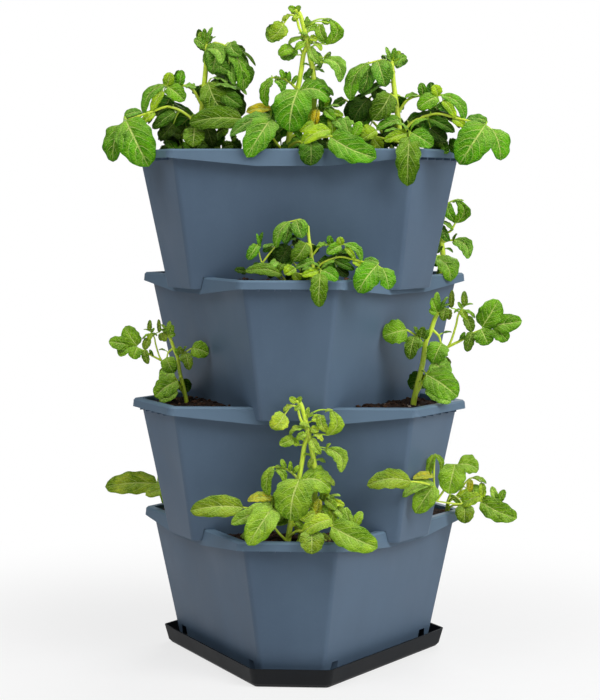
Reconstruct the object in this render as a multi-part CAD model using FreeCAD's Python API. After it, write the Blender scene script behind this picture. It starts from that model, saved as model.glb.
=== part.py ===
"""Vertical planter tower: four identical nesting pots on a drip tray, with soil and potato plants.

All sizes are millimetres. The origin is the middle of the tray's underside, with +Z up.
The viewer of the tower stands at -Y. Every outline is a triangle with its three corners cut off,
so it has three long sides and three short sides. A pot of an odd level has a corner towards -Y,
and each level is turned by half a turn against the one below it.
"""
import FreeCAD, Part
import math
import os

os.makedirs("parts", exist_ok=True)

# Rim outline, measured over the rim's outer edge below its bevel
rim_long_side = 289.0
rim_short_side = 117.0
rim_corner_radius = 10.0
rim_bevel = 2.0

# Pot shell
pot_height = 164.0
pot_wall = 2.5
pot_floor = 3.0
pot_draft_width = 30.0
rim_overhang = 7.5
rim_thickness = 2.5
wall_corner_radius = 8.0
base_corner_radius = 7.0
level_count = 4

# Skirt that hangs from the rim, deeper in the middle of each long side
skirt_thickness = 2.0
skirt_depth_corner = 10.0
skirt_depth_middle = 20.0
skirt_lean = 2.0
skirt_middle_half_length = 41.0

# Small gussets under the rim at the short sides
gusset_count = 5
gusset_pitch = 18.0
gusset_thickness = 1.6
gusset_depth = 12.5

# Nesting: the rim of the pot below enters a groove across each corner of the base
nest_depth = 14.0
groove_clearance = 0.6
groove_wall = 2.0

# Drain holes in each pot's floor
drain_hole_diameter = 9.0
drain_circle_radius = 62.0
drain_hole_count = 6

# Drip tray
tray_margin = 17.5
tray_height = 22.5
tray_wall = 2.2
tray_floor = 2.5
tray_lean = 4.5
tray_foot_chamfer = 4.0
tray_corner_radius = 10.0
tray_stand_height = 8.5
tray_stand_width = 5.0
tray_stand_reach = 128.0
tray_stand_ring_radius = 60.0

# Soil
soil_gap = 0.4
soil_below_rim = 8.0
soil_below_next_pot = 2.0
soil_step_margin = 4.0

# Plants: shapes of leaves and stems
leaf_thickness = 1.5
leaf_fold = 0.22
leaf_arch = 0.16
leaf_stations = [(0.0, 0.14), (0.3, 1.0), (0.68, 0.8), (1.0, 0.08)]
stalk_radius = 1.2
stem_root_radius = 3.2
stem_tip_radius = 1.6
root_patch = 40.0
viewpoint = FreeCAD.Vector(148.0, -2346.0, 566.0)

# Sides that a leaf's upper face can look to
FRONT = (0.0, -1.0, 0.3)
BACK = (0.0, 1.0, 0.3)
SKY = (0.0, -0.4, 1.0)
RAISED = (-0.1, -1.0, 0.7)
LEFT = (-0.7, -1.0, 0.15)
RIGHT = (0.6, -1.0, 0.3)

# A plant is its stems' points and its leaves, from its root on the soil: x right, y back, z up,
# in units that the plant's own sizes across and upwards turn into millimetres.
# A leaf is its blade's base, its blade's tip, its width, the side that it looks to and, where it
# bows sideways, how far it does as a share of its length.
# A point's fourth number, where it has one, is its share of the way from the root to the plant's prop.
TALL_STEMS = [
    [(0, 0, -12), (1, 0, 8), (6, -1, 36), (11, -3, 64), (15, -5, 86), (17, -6, 100), (21, -7, 110)],
    [(4, 3, -12), (22, 4, 24), (28, 2, 56), (27, -3, 80), (24, -5, 97), (21, -7, 112), (17, -8, 129),
     (13, -9, 141), (9, -10, 144)],
    [(20, -8, 113), (13, -10, 126), (10, -10, 136), (4, -11, 139), (-3, -12, 130)],
    [(11, -3, 66), (4, -4, 73), (-4, -5, 77), (-14, -6, 78)],
]
TALL_TOP_LEAVES = [
    ((-3, -12, 131), (-16, -16, 116), 19, FRONT, -0.12),
    ((5, -10, 140), (-4, -13, 133), 8, SKY),
    ((9, -10, 143), (2, -12, 147), 7, FRONT),
    ((10, -10, 143), (14, -12, 148), 6, FRONT),
    ((13, -9, 139), (7, -14, 134), 6, FRONT),
    ((19, -8, 126), (27, -10, 133), 6, SKY),
    ((19, -8, 127), (21, -9, 138), 5, FRONT),
    ((31, -9, 124), (24, -12, 125), 9, FRONT, 0.3),
    ((33, -9, 130), (40, -10, 113), 11, FRONT, 0.12),
    ((41, -10, 110), (44, -9, 135), 15, FRONT, 0.3),
    ((45, -9, 135), (37, -10, 133), 5, SKY),
    ((17, -10, 117), (2, -14, 110), 11, SKY, 0.15),
    ((22, -11, 118), (12, -13, 121), 9, SKY),
    ((18, -12, 112), (9, -15, 105), 8, FRONT),
    ((7, -9, 107), (-8, -13, 100), 12, FRONT),
    ((11, -8, 100), (2, -10, 107), 7, FRONT),
    ((24, -9, 107), (33, -12, 91), 10, FRONT, 0.1),
    ((27, -9, 112), (35, -12, 104), 8, SKY),
    ((23, -9, 117), (31, -12, 114), 8, FRONT),
    ((39, -10, 97), (54, -13, 73), 16, FRONT, -0.22),
    ((38, -10, 95), (43, -12, 102), 6, SKY),
    ((24, -6, 89), (16, -8, 91), 5, SKY),
    ((25, -6, 87), (21, -8, 77), 6, FRONT),
    ((29, -4, 86), (38, -6, 83), 6, SKY),
    ((28, -4, 90), (34, -7, 92), 5, SKY),
    ((-2, -7, 77), (-6, -8, 86), 6, FRONT),
    ((3, -7, 74), (3, -9, 84), 5, FRONT),
    ((6, -6, 72), (11, -8, 80), 5, FRONT),
    ((-6, -6, 77), (-12, -8, 79), 5, SKY),
    ((-15, -8, 77), (-19, -10, 49), 14, LEFT, 0.06),
    ((-14, -6, 78), (-21, -8, 68), 8, SKY),
    ((-11, -6, 76), (-3, -9, 62), 8, FRONT, -0.2),
]
LOW_STEMS = [
    [(-1, -2, 4), (-9, -6, 12), (-15, -10, 22), (-16, -10, 36)],
    [(1, -2, 8), (10, -8, 14), (20, -20, 14), (38, -33, 19), (62, -36, 20), (68, -36, 19)],
    [(3, -1, 18), (14, 0, 26), (24, 2, 42), (33, 3, 49), (44, 2, 44)],
]
MIDDLE_LEAVES = [
    ((12, -12, 66), (3, -18, 24), 38, FRONT, 0.03),
    ((13, -6, 65), (43, -6, 56), 29, RAISED, -0.1),
    ((34, -2, 70), (47, -4, 60), 10, SKY),
    ((-2, -4, 56), (-16, 0, 30), 16, LEFT),
    ((8, 8, 36), (-12, 24, 20), 20, BACK),
]
LOW_RIGHT_LEAVES = [
    ((31, -4, 47), (28, -8, 27), 9, FRONT),
    ((34, 2, 50), (51, -2, 42), 8, SKY),
    ((45, 0, 43), (46, -6, 20), 10, FRONT),
    ((27, -14, 33), (14, -18, 24), 9, FRONT),
    ((16, -12, 17), (6, -14, 27), 7, FRONT),
    ((43, -31, 26), (15, -32, 12), 19, RAISED),
    ((24, -33, 14), (24, -42, -9), 25, FRONT),
    ((43, -34, 19), (88, -44, -2), 29, FRONT, 0.05),
    ((62, -34, 20), (57, -32, 38), 10, FRONT),
    ((66, -34, 19), (73, -32, 34), 10, FRONT),
    ((30, 10, 38), (44, 24, 22), 20, BACK),
]
LOW_LEFT_LEAVES = [
    ((-15, -6, 47), (-40, -10, 44), 12, RAISED),
    ((-15, -11, 40), (-56, -24, 20), 17, RAISED),
    ((-15, -14, 37), (-39, -38, -1), 30, FRONT),
    ((-44, -8, 37), (-97, -12, 33), 24, FRONT, 0.06),
]
LEFT_STEMS = [
    [(-16, -10, 30), (-30, -9, 35), (-44, -8, 37)],
]
SIDE_STEMS = [
    [(0, 0, -12), (-4, -1, 16), (-16, -6, 26)],
]
SIDE_LEAVES = [
    ((-44, -8, 26), (-97, -12, 22), 24, FRONT, 0.06),
    ((-18, -11, 27), (-56, -24, 14), 17, RAISED),
    ((-9, -8, 25), (-34, -26, 12), 24, SKY),
    ((-30, -22, 24), (-36, -28, 4), 16, FRONT),
    ((-6, -3, 26), (6, -26, 16), 20, FRONT),
    ((-2, 2, 22), (-12, 22, 18), 20, BACK),
]
TRAILING_STEMS = [
    [(0, 0, -12), (2, -1, 8), (3, -1, 18), (6, -1, 27)],
    [(1, 0, 4), (5, -9, 19), (12, -30, 24), (25, 14, 28, 0.5), (20, 15, 34, 0.8), (0, 0, 41, 1.0)],
    [(0, 0, 41, 1.0), (-3, -2, 62, 1.0), (-3, -3, 84, 1.0), (-2, -3, 97, 1.0)],
    [(-2, -2, 58, 1.0), (-16, -38, 62, 1.0), (-30, -51, 63, 1.0)],
    [(0, 0, 41, 1.0), (12, 4, 60, 1.0), (22, 8, 84, 1.0)],
]
TRAILING_LEAVES = [
    ((22, 6, 86, 1.0), (14, -4, 50, 1.0), 34, FRONT),
    ((25, 10, 86, 1.0), (50, 8, 80, 1.0), 26, RAISED, -0.1),
    ((-3, -6, 60, 1.0), (-25, -22, 26, 1.0), 28, FRONT),
    ((-4, -8, 63, 1.0), (-40, -38, 45, 1.0), 17, RAISED),
    ((-3, -4, 71, 1.0), (-28, -26, 67, 1.0), 12, RAISED),
    ((-30, -51, 63, 1.0), (-81, -56, 58, 1.0), 24, FRONT, 0.06),
    ((-3, -5, 97, 1.0), (-9, -8, 71, 1.0), 12, LEFT, 0.06),
    ((-1, -4, 97, 1.0), (5, -4, 79, 1.0), 7, FRONT, -0.2),
]
EDGE_STEMS = [
    [(0, 0, -12), (7, -2, 8), (10, -4, 22), (8, -5, 40), (7, -5, 51), (11, -6, 66), (14, -7, 76)],
    [(8, -5, 36), (15, -7, 39), (22, -8, 39)],
    [(8, -5, 46), (17, -8, 48), (22, -9, 56)],
]
EDGE_LEAVES = [
    ((22, -9, 56), (24, -8, 80), 15, FRONT, 0.3),
    ((30, -8, 79), (19, -9, 77), 6, SKY),
    ((14, -8, 76), (22, -10, 58), 11, FRONT, 0.12),
    ((8, -6, 54), (16, -8, 38), 9, FRONT, 0.1),
    ((10, -8, 58), (20, -10, 49), 8, SKY),
    ((21, -8, 40), (36, -11, 21), 15, FRONT, -0.22),
    ((20, -8, 38), (24, -10, 46), 6, SKY),
    ((12, -5, 31), (20, -7, 27), 5, SKY),
    ((9, -5, 36), (4, -8, 26), 6, FRONT),
    ((6, -6, 22), (-10, -8, 14), 14, FRONT),
    ((2, -12, 22), (18, -28, -2), 27, RIGHT, -0.1),
    ((4, 4, 20), (-8, 24, 16), 18, BACK),
]
BUSHY_STEMS = [
    [(0, 0, -12), (-5, 0, 26), (-8, 0, 50), (-11, 0, 72), (-13, 0, 94)],
    [(-12, 0, 86), (-20, 0, 95), (-27, 0, 95), (-38, -2, 92)],
    [(-6, 0, 40), (-8, -2, 56), (-14, -5, 62)],
    [(-6, 0, 44), (3, -2, 56), (14, -3, 60), (26, -4, 59), (38, -6, 61)],
    [(-2, 0, 22), (8, -3, 34), (30, -8, 42), (50, -12, 38), (70, -17, 33), (80, -18, 30), (86, -18, 26)],
    [(-6, 0, 34), (-20, 0, 46), (-32, 0, 60)],
]
HANGING_STEMS = [
    [(0, 0, 4), (3, -24, 16), (5, -40, 22)],
    [(2, -16, 12), (-14, -16, 16), (-30, -14, 20)],
]
HANGING_LEAVES = [
    ((5, -42, 19), (3, -50, -29), 25, FRONT),
    ((7, -40, 23), (28, -46, 10), 19, FRONT),
    ((6, -38, 25), (23, -40, 36), 10, SKY),
    ((4, -38, 26), (-11, -42, 33), 10, SKY),
    ((3, -36, 23), (-20, -42, 15), 12, FRONT),
    ((-2, -24, 24), (-20, -28, 24), 9, SKY),
    ((-28, -16, 26), (-42, -22, 17), 13, FRONT),
    ((-31, -14, 18), (-22, -17, 7), 13, FRONT),
]
BUSHY_LEAVES = [
    ((-11, 0, 93), (2, -3, 99), 10, FRONT),
    ((-13, 0, 95), (-19, 0, 109), 5, FRONT),
    ((-13, 0, 94), (-23, -2, 101), 5, SKY),
    ((-11, 0, 95), (-10, 0, 108), 6, FRONT),
    ((-11, 0, 93), (-5, 2, 105), 9, FRONT),
    ((-38, -4, 93), (-54, -16, 55), 20, LEFT, 0.08),
    ((-38, -2, 92), (-44, -6, 62), 16, FRONT, -0.1),
    ((-27, -2, 95), (-19, -8, 69), 20, FRONT),
    ((-20, -2, 96), (-13, -6, 76), 9, RIGHT),
    ((-23, 0, 72), (-44, -4, 58), 17, SKY),
    ((-30, 2, 68), (-22, -2, 52), 13, FRONT),
    ((-14, -7, 62), (-32, -13, 36), 26, FRONT, -0.06),
    ((-36, 0, 58), (-52, -6, 34), 23, FRONT),
    ((-34, 0, 44), (-46, -6, 26), 14, FRONT),
    ((-4, -8, 37), (-28, -14, 26), 14, RAISED),
    ((14, -3, 60), (0, -5, 58), 13, SKY),
    ((19, -4, 60), (16, -6, 73), 10, FRONT),
    ((32, -6, 59), (13, -12, 47), 17, FRONT),
    ((33, -6, 60), (29, -6, 71), 12, FRONT),
    ((37, -7, 61), (60, -13, 36), 14, RIGHT, -0.16),
    ((38, -8, 56), (51, -13, 38), 9, FRONT),
    ((48, -10, 38), (61, -14, 29), 10, FRONT),
    ((8, 0, 35), (36, 2, 44), 10, SKY),
    ((26, -4, 44), (55, -8, 28), 12, SKY, -0.1),
    ((24, -4, 38), (50, -10, 24), 12, FRONT),
    ((26, -2, 28), (42, -6, 15), 16, FRONT),
    ((82, -14, 34), (62, -10, 38), 10, RAISED),
    ((80, -20, 31), (54, -32, -8), 37, FRONT),
    ((87, -18, 27), (95, -26, -4), 28, RIGHT),
    ((-10, 0, 30), (-20, -10, 8), 16, FRONT),
    ((-4, 6, 60), (-16, 34, 44), 22, BACK),
    ((2, 6, 36), (24, 36, 22), 26, BACK),
    ((30, 4, 50), (44, 28, 36), 20, BACK),
]
CLUSTER_LEAVES = [
    ((-16, -4, 92), (-30, -14, 78), 14, FRONT, 0.2),
    ((-40, -6, 96), (-52, -14, 84), 14, FRONT, -0.2),
    ((-46, -6, 90), (-68, -10, 76), 5, SKY),
    ((-24, -8, 78), (-40, -16, 70), 14, FRONT),
    ((-38, -12, 76), (-44, -16, 60), 8, FRONT),
    ((-50, -8, 76), (-60, -12, 60), 14, FRONT, 0.2),
    ((-18, -10, 66), (-36, -16, 62), 11, SKY, 0.2),
    ((-22, -12, 60), (-46, -18, 56), 10, SKY, -0.15),
    ((-34, -12, 60), (-58, -12, 52), 11, SKY, 0.15),
    ((-30, -14, 54), (-52, -18, 42), 17, FRONT),
    ((2, -28, 24), (4, -36, 8), 22, FRONT),
]
BRANCHED_STEMS = [
    [(0, 0, -12), (-1, 0, 4), (3, 0, 24), (8, -2, 45), (11, -3, 66), (16, -4, 78), (20, -5, 90),
     (24, -6, 98)],
    [(2, 2, 14), (12, 2, 34), (26, 0, 54), (35, -2, 65), (41, -4, 83), (43, -5, 93), (47, -5, 101)],
    [(10, -3, 62), (5, -5, 69), (0, -8, 74), (-8, -10, 79)],
    [(17, -4, 80), (24, -5, 73), (26, -6, 66)],
]
BRANCHED_LEAVES = [
    ((-8, -10, 79), (-32, -14, 72), 25, FRONT),
    ((0, -9, 73), (-5, -14, 49), 15, FRONT),
    ((3, -8, 73), (-1, -10, 82), 8, SKY),
    ((6, -8, 71), (9, -10, 82), 8, FRONT),
    ((9, -7, 70), (14, -9, 79), 7, FRONT),
    ((6, -8, 68), (2, -12, 60), 8, FRONT),
    ((23, -7, 96), (17, -9, 111), 10, FRONT),
    ((23, -6, 98), (22, -8, 117), 8, FRONT),
    ((24, -6, 97), (33, -9, 112), 9, SKY),
    ((25, -6, 97), (35, -10, 105), 8, SKY),
    ((22, -8, 97), (14, -11, 98), 9, FRONT),
    ((31, -7, 101), (28, -10, 88), 11, FRONT),
    ((34, -7, 100), (34, -9, 89), 7, FRONT),
    ((36, -7, 101), (37, -8, 119), 6, FRONT),
    ((50, -6, 103), (49, -8, 118), 7, FRONT),
    ((47, -6, 101), (43, -8, 107), 4, FRONT),
    ((48, -6, 102), (58, -8, 105), 4, SKY),
    ((46, -6, 100), (39, -8, 96), 4, SKY),
    ((49, -6, 99), (60, -9, 91), 6, SKY),
    ((47, -6, 99), (52, -9, 89), 8, FRONT),
    ((51, -6, 93), (57, -10, 77), 12, FRONT),
    ((28, -3, 76), (37, -5, 77), 5, SKY),
    ((27, -8, 66), (18, -14, 46), 22, FRONT),
    ((19, -10, 48), (34, -15, 31), 22, FRONT),
    ((30, -8, 51), (36, -11, 45), 6, FRONT),
    ((12, -14, 34), (43, -24, 12), 30, FRONT),
    ((12, -20, 22), (36, -28, 6), 16, FRONT),
    ((16, 2, 60), (26, 26, 44), 20, BACK),
    ((10, 4, 34), (-4, 26, 20), 22, BACK),
]
FORK_STEMS = [
    [(33, -2, 62), (47, -6, 69), (57, -9, 75), (66, -10, 79), (77, -12, 83)],
]
FORK_LEAVES = [
    ((57, -10, 77), (52, -14, 57), 11, FRONT),
    ((44, -6, 69), (49, -8, 72), 5, SKY),
    ((46, -6, 70), (50, -8, 77), 5, FRONT),
    ((67, -11, 82), (83, -12, 109), 25, FRONT),
    ((66, -12, 80), (73, -16, 64), 21, FRONT),
    ((77, -13, 84), (106, -17, 88), 20, FRONT, 0.08),
    ((79, -13, 82), (92, -18, 68), 17, FRONT),
]

SIN_60 = math.sqrt(3.0) / 2.0
TOP = 1000.0
UP = FreeCAD.Vector(0, 0, 1)


def grown(outline, distance):
    """The outline's long and short side after each side moves out by distance."""
    longer = 2.0 * distance / math.sqrt(3.0)
    return outline[0] + longer, outline[1] + longer


def reach_to_long_side(outline):
    """Distance from the axis to a long side."""
    return (outline[0] + 2.0 * outline[1]) / (2.0 * math.sqrt(3.0))


def reach_to_corner(outline):
    """Distance from the axis to a short side."""
    return (outline[0] + outline[1]) * SIN_60 - reach_to_long_side(outline)


rim_outline = (rim_long_side, rim_short_side)
wall_top_outline = grown(rim_outline, -rim_overhang)
base_outline = grown(wall_top_outline, -pot_draft_width)
tray_top_outline = grown(base_outline, tray_margin)
tray_foot_outline = grown(tray_top_outline, -tray_lean)
draft_per_mm = pot_draft_width / pot_height
level_pitch = pot_height - nest_depth
pot_base_z = tray_floor + tray_stand_height
soil_level = pot_height - soil_below_rim


def outline_wire(outline, radius, z):
    """Closed wire of the cut-off triangle with rounded corners, one short side towards -Y."""
    long_side, short_side = outline
    corner = reach_to_corner(outline)
    side = reach_to_long_side(outline)
    knee = side - short_side * SIN_60
    half_width = (long_side + short_side) / 2.0
    points = [
        (-short_side / 2.0, -corner),
        (short_side / 2.0, -corner),
        (half_width, knee),
        (long_side / 2.0, side),
        (-long_side / 2.0, side),
        (-half_width, knee),
    ]
    corners = [FreeCAD.Vector(x, y, z) for x, y in points]
    tangent_length = radius * math.tan(math.radians(30.0))
    bulge = radius * (1.0 / math.cos(math.radians(30.0)) - 1.0)
    edges = []
    for index, here in enumerate(corners):
        before = corners[index - 1]
        after = corners[(index + 1) % len(corners)]
        towards_before = (before - here).normalize()
        towards_after = (after - here).normalize()
        inward = (towards_before + towards_after).normalize()
        arc_start = here + towards_before * tangent_length
        arc_end = here + towards_after * tangent_length
        edges.append(Part.Arc(arc_start, here + inward * bulge, arc_end).toShape())
        next_arc_start = after - towards_after * tangent_length
        edges.append(Part.LineSegment(arc_end, next_arc_start).toShape())
    return Part.Wire(edges)


def tapered_block(low_outline, low_radius, low_z, high_outline, high_radius, high_z):
    """Solid between two outlines at two heights."""
    low = outline_wire(low_outline, low_radius, low_z)
    high = outline_wire(high_outline, high_radius, high_z)
    return Part.makeLoft([low, high], True, True)


def turned(shape, degrees):
    """Copy of the shape turned about the tower's axis."""
    copy = shape.copy()
    copy.rotate(FreeCAD.Vector(0, 0, 0), UP, degrees)
    return copy


def three_times(shape):
    """The shape at the three corners or the three long sides."""
    return [turned(shape, step * 120.0) for step in range(3)]


def prism_along_x(profile, half_length):
    """Prism of a closed profile of (y, z) points, from -half_length to half_length along X."""
    points = [FreeCAD.Vector(-half_length, y, z) for y, z in profile]
    face = Part.Face(Part.makePolygon(points + points[:1]))
    return face.extrude(FreeCAD.Vector(2.0 * half_length, 0, 0))


def prism_along_y(profile, low_y, high_y):
    """Prism of a closed profile of (x, z) points, from low_y to high_y."""
    points = [FreeCAD.Vector(x, low_y, z) for x, z in profile]
    face = Part.Face(Part.makePolygon(points + points[:1]))
    return face.extrude(FreeCAD.Vector(0, high_y - low_y, 0))


def outline_at(z, inset):
    """The pot wall's outline at a height above its base, moved in by inset."""
    return grown(base_outline, draft_per_mm * z - inset)


def radius_at(z, inset):
    """The corner radius that belongs to outline_at."""
    share = z / pot_height
    outer = base_corner_radius + (wall_corner_radius - base_corner_radius) * share
    return max(outer - inset, 1.0)


def wall_block(low_z, high_z, inset):
    """Solid inside the pot's wall between two heights, moved in by inset."""
    return tapered_block(
        outline_at(low_z, inset), radius_at(low_z, inset), low_z,
        outline_at(high_z, inset), radius_at(high_z, inset), high_z)


def groove_profile(extra):
    """Section of the groove for the rim below, as (y, z) points at the corner towards -Y."""
    rim_out = reach_to_long_side(rim_outline) + groove_clearance + extra
    wall_in = reach_to_long_side(wall_top_outline) - pot_wall - groove_clearance - extra
    lean_out = skirt_lean * nest_depth / skirt_depth_middle
    lean_in = draft_per_mm * nest_depth
    return [
        (-rim_out - lean_out, -extra - 1.0),
        (-rim_out, nest_depth + extra),
        (-wall_in, nest_depth + extra),
        (-wall_in + lean_in, -extra - 1.0),
    ]


def make_skirt():
    """Band that hangs from the rim's outer edge, with its stepped lower edge."""
    low_z = pot_height - skirt_depth_middle
    outer = tapered_block(
        grown(rim_outline, skirt_lean), rim_corner_radius + skirt_lean, low_z,
        rim_outline, rim_corner_radius, pot_height)
    inner = tapered_block(
        grown(rim_outline, skirt_lean - skirt_thickness), rim_corner_radius, low_z,
        grown(rim_outline, -skirt_thickness), rim_corner_radius - skirt_thickness, pot_height)
    band = outer.cut(inner)
    ramp_end = rim_long_side / 2.0
    corner_z = pot_height - skirt_depth_corner
    side = reach_to_long_side(rim_outline)
    deep_part = prism_along_y(
        [(-ramp_end, corner_z), (-skirt_middle_half_length, low_z),
         (skirt_middle_half_length, low_z), (ramp_end, corner_z),
         (ramp_end, corner_z + 1.0), (-ramp_end, corner_z + 1.0)],
        side - 3.0 * skirt_thickness, side + 3.0 * skirt_thickness)
    upper_part = Part.makeBox(TOP, TOP, pot_height - corner_z, FreeCAD.Vector(-TOP / 2, -TOP / 2, corner_z))
    kept = upper_part.multiFuse(three_times(deep_part))
    return band.common(kept)


def bevel_waste():
    """What is cut off the rim's upper outer edge."""
    low_z = pot_height - rim_bevel
    slab = Part.makeBox(TOP, TOP, rim_bevel, FreeCAD.Vector(-TOP / 2, -TOP / 2, low_z))
    return slab.cut(tapered_block(
        rim_outline, rim_corner_radius, low_z,
        grown(rim_outline, -rim_bevel), rim_corner_radius - rim_bevel, pot_height))


def make_gussets():
    """Small upright ribs between the wall and the skirt at one corner."""
    wall_out = reach_to_corner(outline_at(pot_height - gusset_depth, 0.0)) - 1.0
    rim_in = reach_to_corner(rim_outline) - skirt_thickness / 2.0
    first = -(gusset_count - 1) * gusset_pitch / 2.0
    ribs = []
    for index in range(gusset_count):
        x = first + index * gusset_pitch - gusset_thickness / 2.0
        ribs.append(Part.makeBox(
            gusset_thickness, rim_in - wall_out, gusset_depth - rim_thickness / 2.0,
            FreeCAD.Vector(x, -rim_in, pot_height - gusset_depth)))
    return ribs


def make_pot():
    """One pot, standing on z = 0 with a corner towards -Y."""
    shell = wall_block(0.0, pot_height, 0.0)
    flange = tapered_block(
        grown(rim_outline, -skirt_thickness / 2.0), rim_corner_radius - skirt_thickness / 2.0,
        pot_height - rim_thickness,
        grown(rim_outline, -skirt_thickness / 2.0), rim_corner_radius - skirt_thickness / 2.0, pot_height)
    ribs = []
    for rib in make_gussets():
        ribs += three_times(rib)
    body = shell.multiFuse([flange, make_skirt()] + ribs)
    cavity = wall_block(pot_floor, pot_height, pot_wall)
    housing_half_length = rim_short_side
    housing = prism_along_x(groove_profile(groove_wall), housing_half_length)
    cavity = cavity.cut(Part.makeCompound(three_times(housing)))
    grooves = three_times(prism_along_x(groove_profile(0.0), housing_half_length))
    holes = []
    for index in range(drain_hole_count):
        angle = math.radians(index * 360.0 / drain_hole_count)
        centre = FreeCAD.Vector(
            drain_circle_radius * math.sin(angle), drain_circle_radius * math.cos(angle), -1.0)
        holes.append(Part.makeCylinder(drain_hole_diameter / 2.0, pot_floor + 2.0, centre))
    centre_hole = Part.makeCylinder(drain_hole_diameter / 2.0, pot_floor + 2.0, FreeCAD.Vector(0, 0, -1.0))
    return body.cut([cavity, bevel_waste(), centre_hole] + grooves + holes)


def make_tray():
    """Drip tray with a leaning wall, a chamfered foot and a raised cross that carries the pot."""
    foot = tapered_block(
        grown(tray_foot_outline, -tray_foot_chamfer), tray_corner_radius - tray_foot_chamfer, 0.0,
        tray_foot_outline, tray_corner_radius, tray_foot_chamfer)
    wall = tapered_block(
        tray_foot_outline, tray_corner_radius, tray_foot_chamfer,
        tray_top_outline, tray_corner_radius, tray_height)
    hollow_low = tapered_block(
        grown(tray_foot_outline, -tray_foot_chamfer - tray_wall),
        tray_corner_radius - tray_foot_chamfer - tray_wall, tray_floor,
        grown(tray_foot_outline, -tray_wall), tray_corner_radius - tray_wall, tray_foot_chamfer + tray_wall)
    hollow = tapered_block(
        grown(tray_foot_outline, -tray_wall), tray_corner_radius - tray_wall, tray_foot_chamfer + tray_wall,
        grown(tray_top_outline, -tray_wall), tray_corner_radius - tray_wall, tray_height)
    shell = foot.fuse(wall).cut([hollow_low, hollow])
    bar = Part.makeBox(
        tray_stand_width, tray_stand_reach, tray_stand_height + 0.5,
        FreeCAD.Vector(-tray_stand_width / 2.0, -tray_stand_reach, tray_floor - 0.5))
    outer_ring = Part.makeCylinder(
        tray_stand_ring_radius + tray_stand_width / 2.0, tray_stand_height + 0.5,
        FreeCAD.Vector(0, 0, tray_floor - 0.5))
    inner_ring = Part.makeCylinder(
        tray_stand_ring_radius - tray_stand_width / 2.0, tray_stand_height + 0.5,
        FreeCAD.Vector(0, 0, tray_floor - 0.5))
    return shell.multiFuse(three_times(bar) + [outer_ring.cut(inner_ring)])


def make_soil(under_next_pot):
    """Soil in one pot. Below another pot it is lower under that pot's base."""
    soil = wall_block(pot_floor, soil_level, pot_wall + soil_gap)
    housing = prism_along_x(groove_profile(groove_wall + soil_gap), rim_short_side)
    soil = soil.cut(three_times(housing))
    if under_next_pot:
        step_z = level_pitch - soil_below_next_pot
        step_outline = grown(outline_at(nest_depth, 0.0), soil_step_margin)
        recess = tapered_block(
            step_outline, base_corner_radius, step_z,
            step_outline, base_corner_radius, pot_height)
        soil = soil.cut(turned(recess, 180.0))
    return soil


def level_turn(level):
    """Odd levels have a corner towards -Y, even levels a long side."""
    return 0.0 if level % 2 else 180.0


def level_base_z(level):
    """Height of a level's base above the ground."""
    return pot_base_z + (level - 1) * level_pitch


def placed(shape, level):
    """Copy of a pot-frame shape at its level."""
    copy = turned(shape, level_turn(level))
    copy.translate(FreeCAD.Vector(0, 0, level_base_z(level)))
    return copy


def faceted_solid(sections):
    """Solid with flat faces between sections that have the same number of corners."""
    count = len(sections[0])
    faces = [Part.Face(Part.makePolygon(section + section[:1])) for section in (sections[0], sections[-1])]
    for near, far in zip(sections, sections[1:]):
        for index in range(count):
            following = (index + 1) % count
            corners = [near[index], near[following], far[following], far[index], near[index]]
            faces.append(Part.Face(Part.makePolygon(corners)))
    solid = Part.makeSolid(Part.makeShell(faces))
    if solid.Volume < 0.0:
        solid.reverse()
    return solid


def leaf_blade(base, tip, width, side, bow):
    """Thin folded blade that arches from its base to its tip, looks to one side and may bow sideways."""
    along = tip - base
    across = along.cross(side).normalize()
    face = across.cross(along).normalize()
    under = face * -leaf_thickness
    sections = []
    for share, breadth in leaf_stations:
        bulge = along.Length * 4.0 * share * (1.0 - share)
        middle = base + along * share + face * (leaf_arch * bulge) + across * (bow * bulge)
        half = across * (width * breadth / 2.0)
        lift = face * (leaf_fold * width * breadth / 2.0)
        upper = [middle - half + lift, middle, middle + half + lift]
        sections.append(upper + [corner + under for corner in reversed(upper)])
    return faceted_solid(sections)


def stalk(start, end, start_radius, end_radius):
    """Straight six-sided stalk that runs a little past its end, into what it carries."""
    along = (end - start).normalize()
    across = along.cross(FreeCAD.Vector(0.3, 1.0, 0.1)).normalize()
    other = along.cross(across)
    sections = []
    for middle, radius in ((start, start_radius), (end + along * end_radius, end_radius)):
        ring = []
        for index in range(6):
            angle = math.radians(60.0 * index)
            ring.append(middle + across * (radius * math.cos(angle)) + other * (radius * math.sin(angle)))
        sections.append(ring)
    return faceted_solid(sections)


def nearest_on_stems(stems, point):
    """The point of the stems' middle lines that lies nearest to a point."""
    best = stems[0][0]
    for stem in stems:
        for start, end in zip(stem, stem[1:]):
            along = end - start
            share = (point - start).dot(along) / along.dot(along)
            candidate = start + along * min(max(share, 0.0), 1.0)
            if candidate.distanceToPoint(point) < best.distanceToPoint(point):
                best = candidate
    return best


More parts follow.
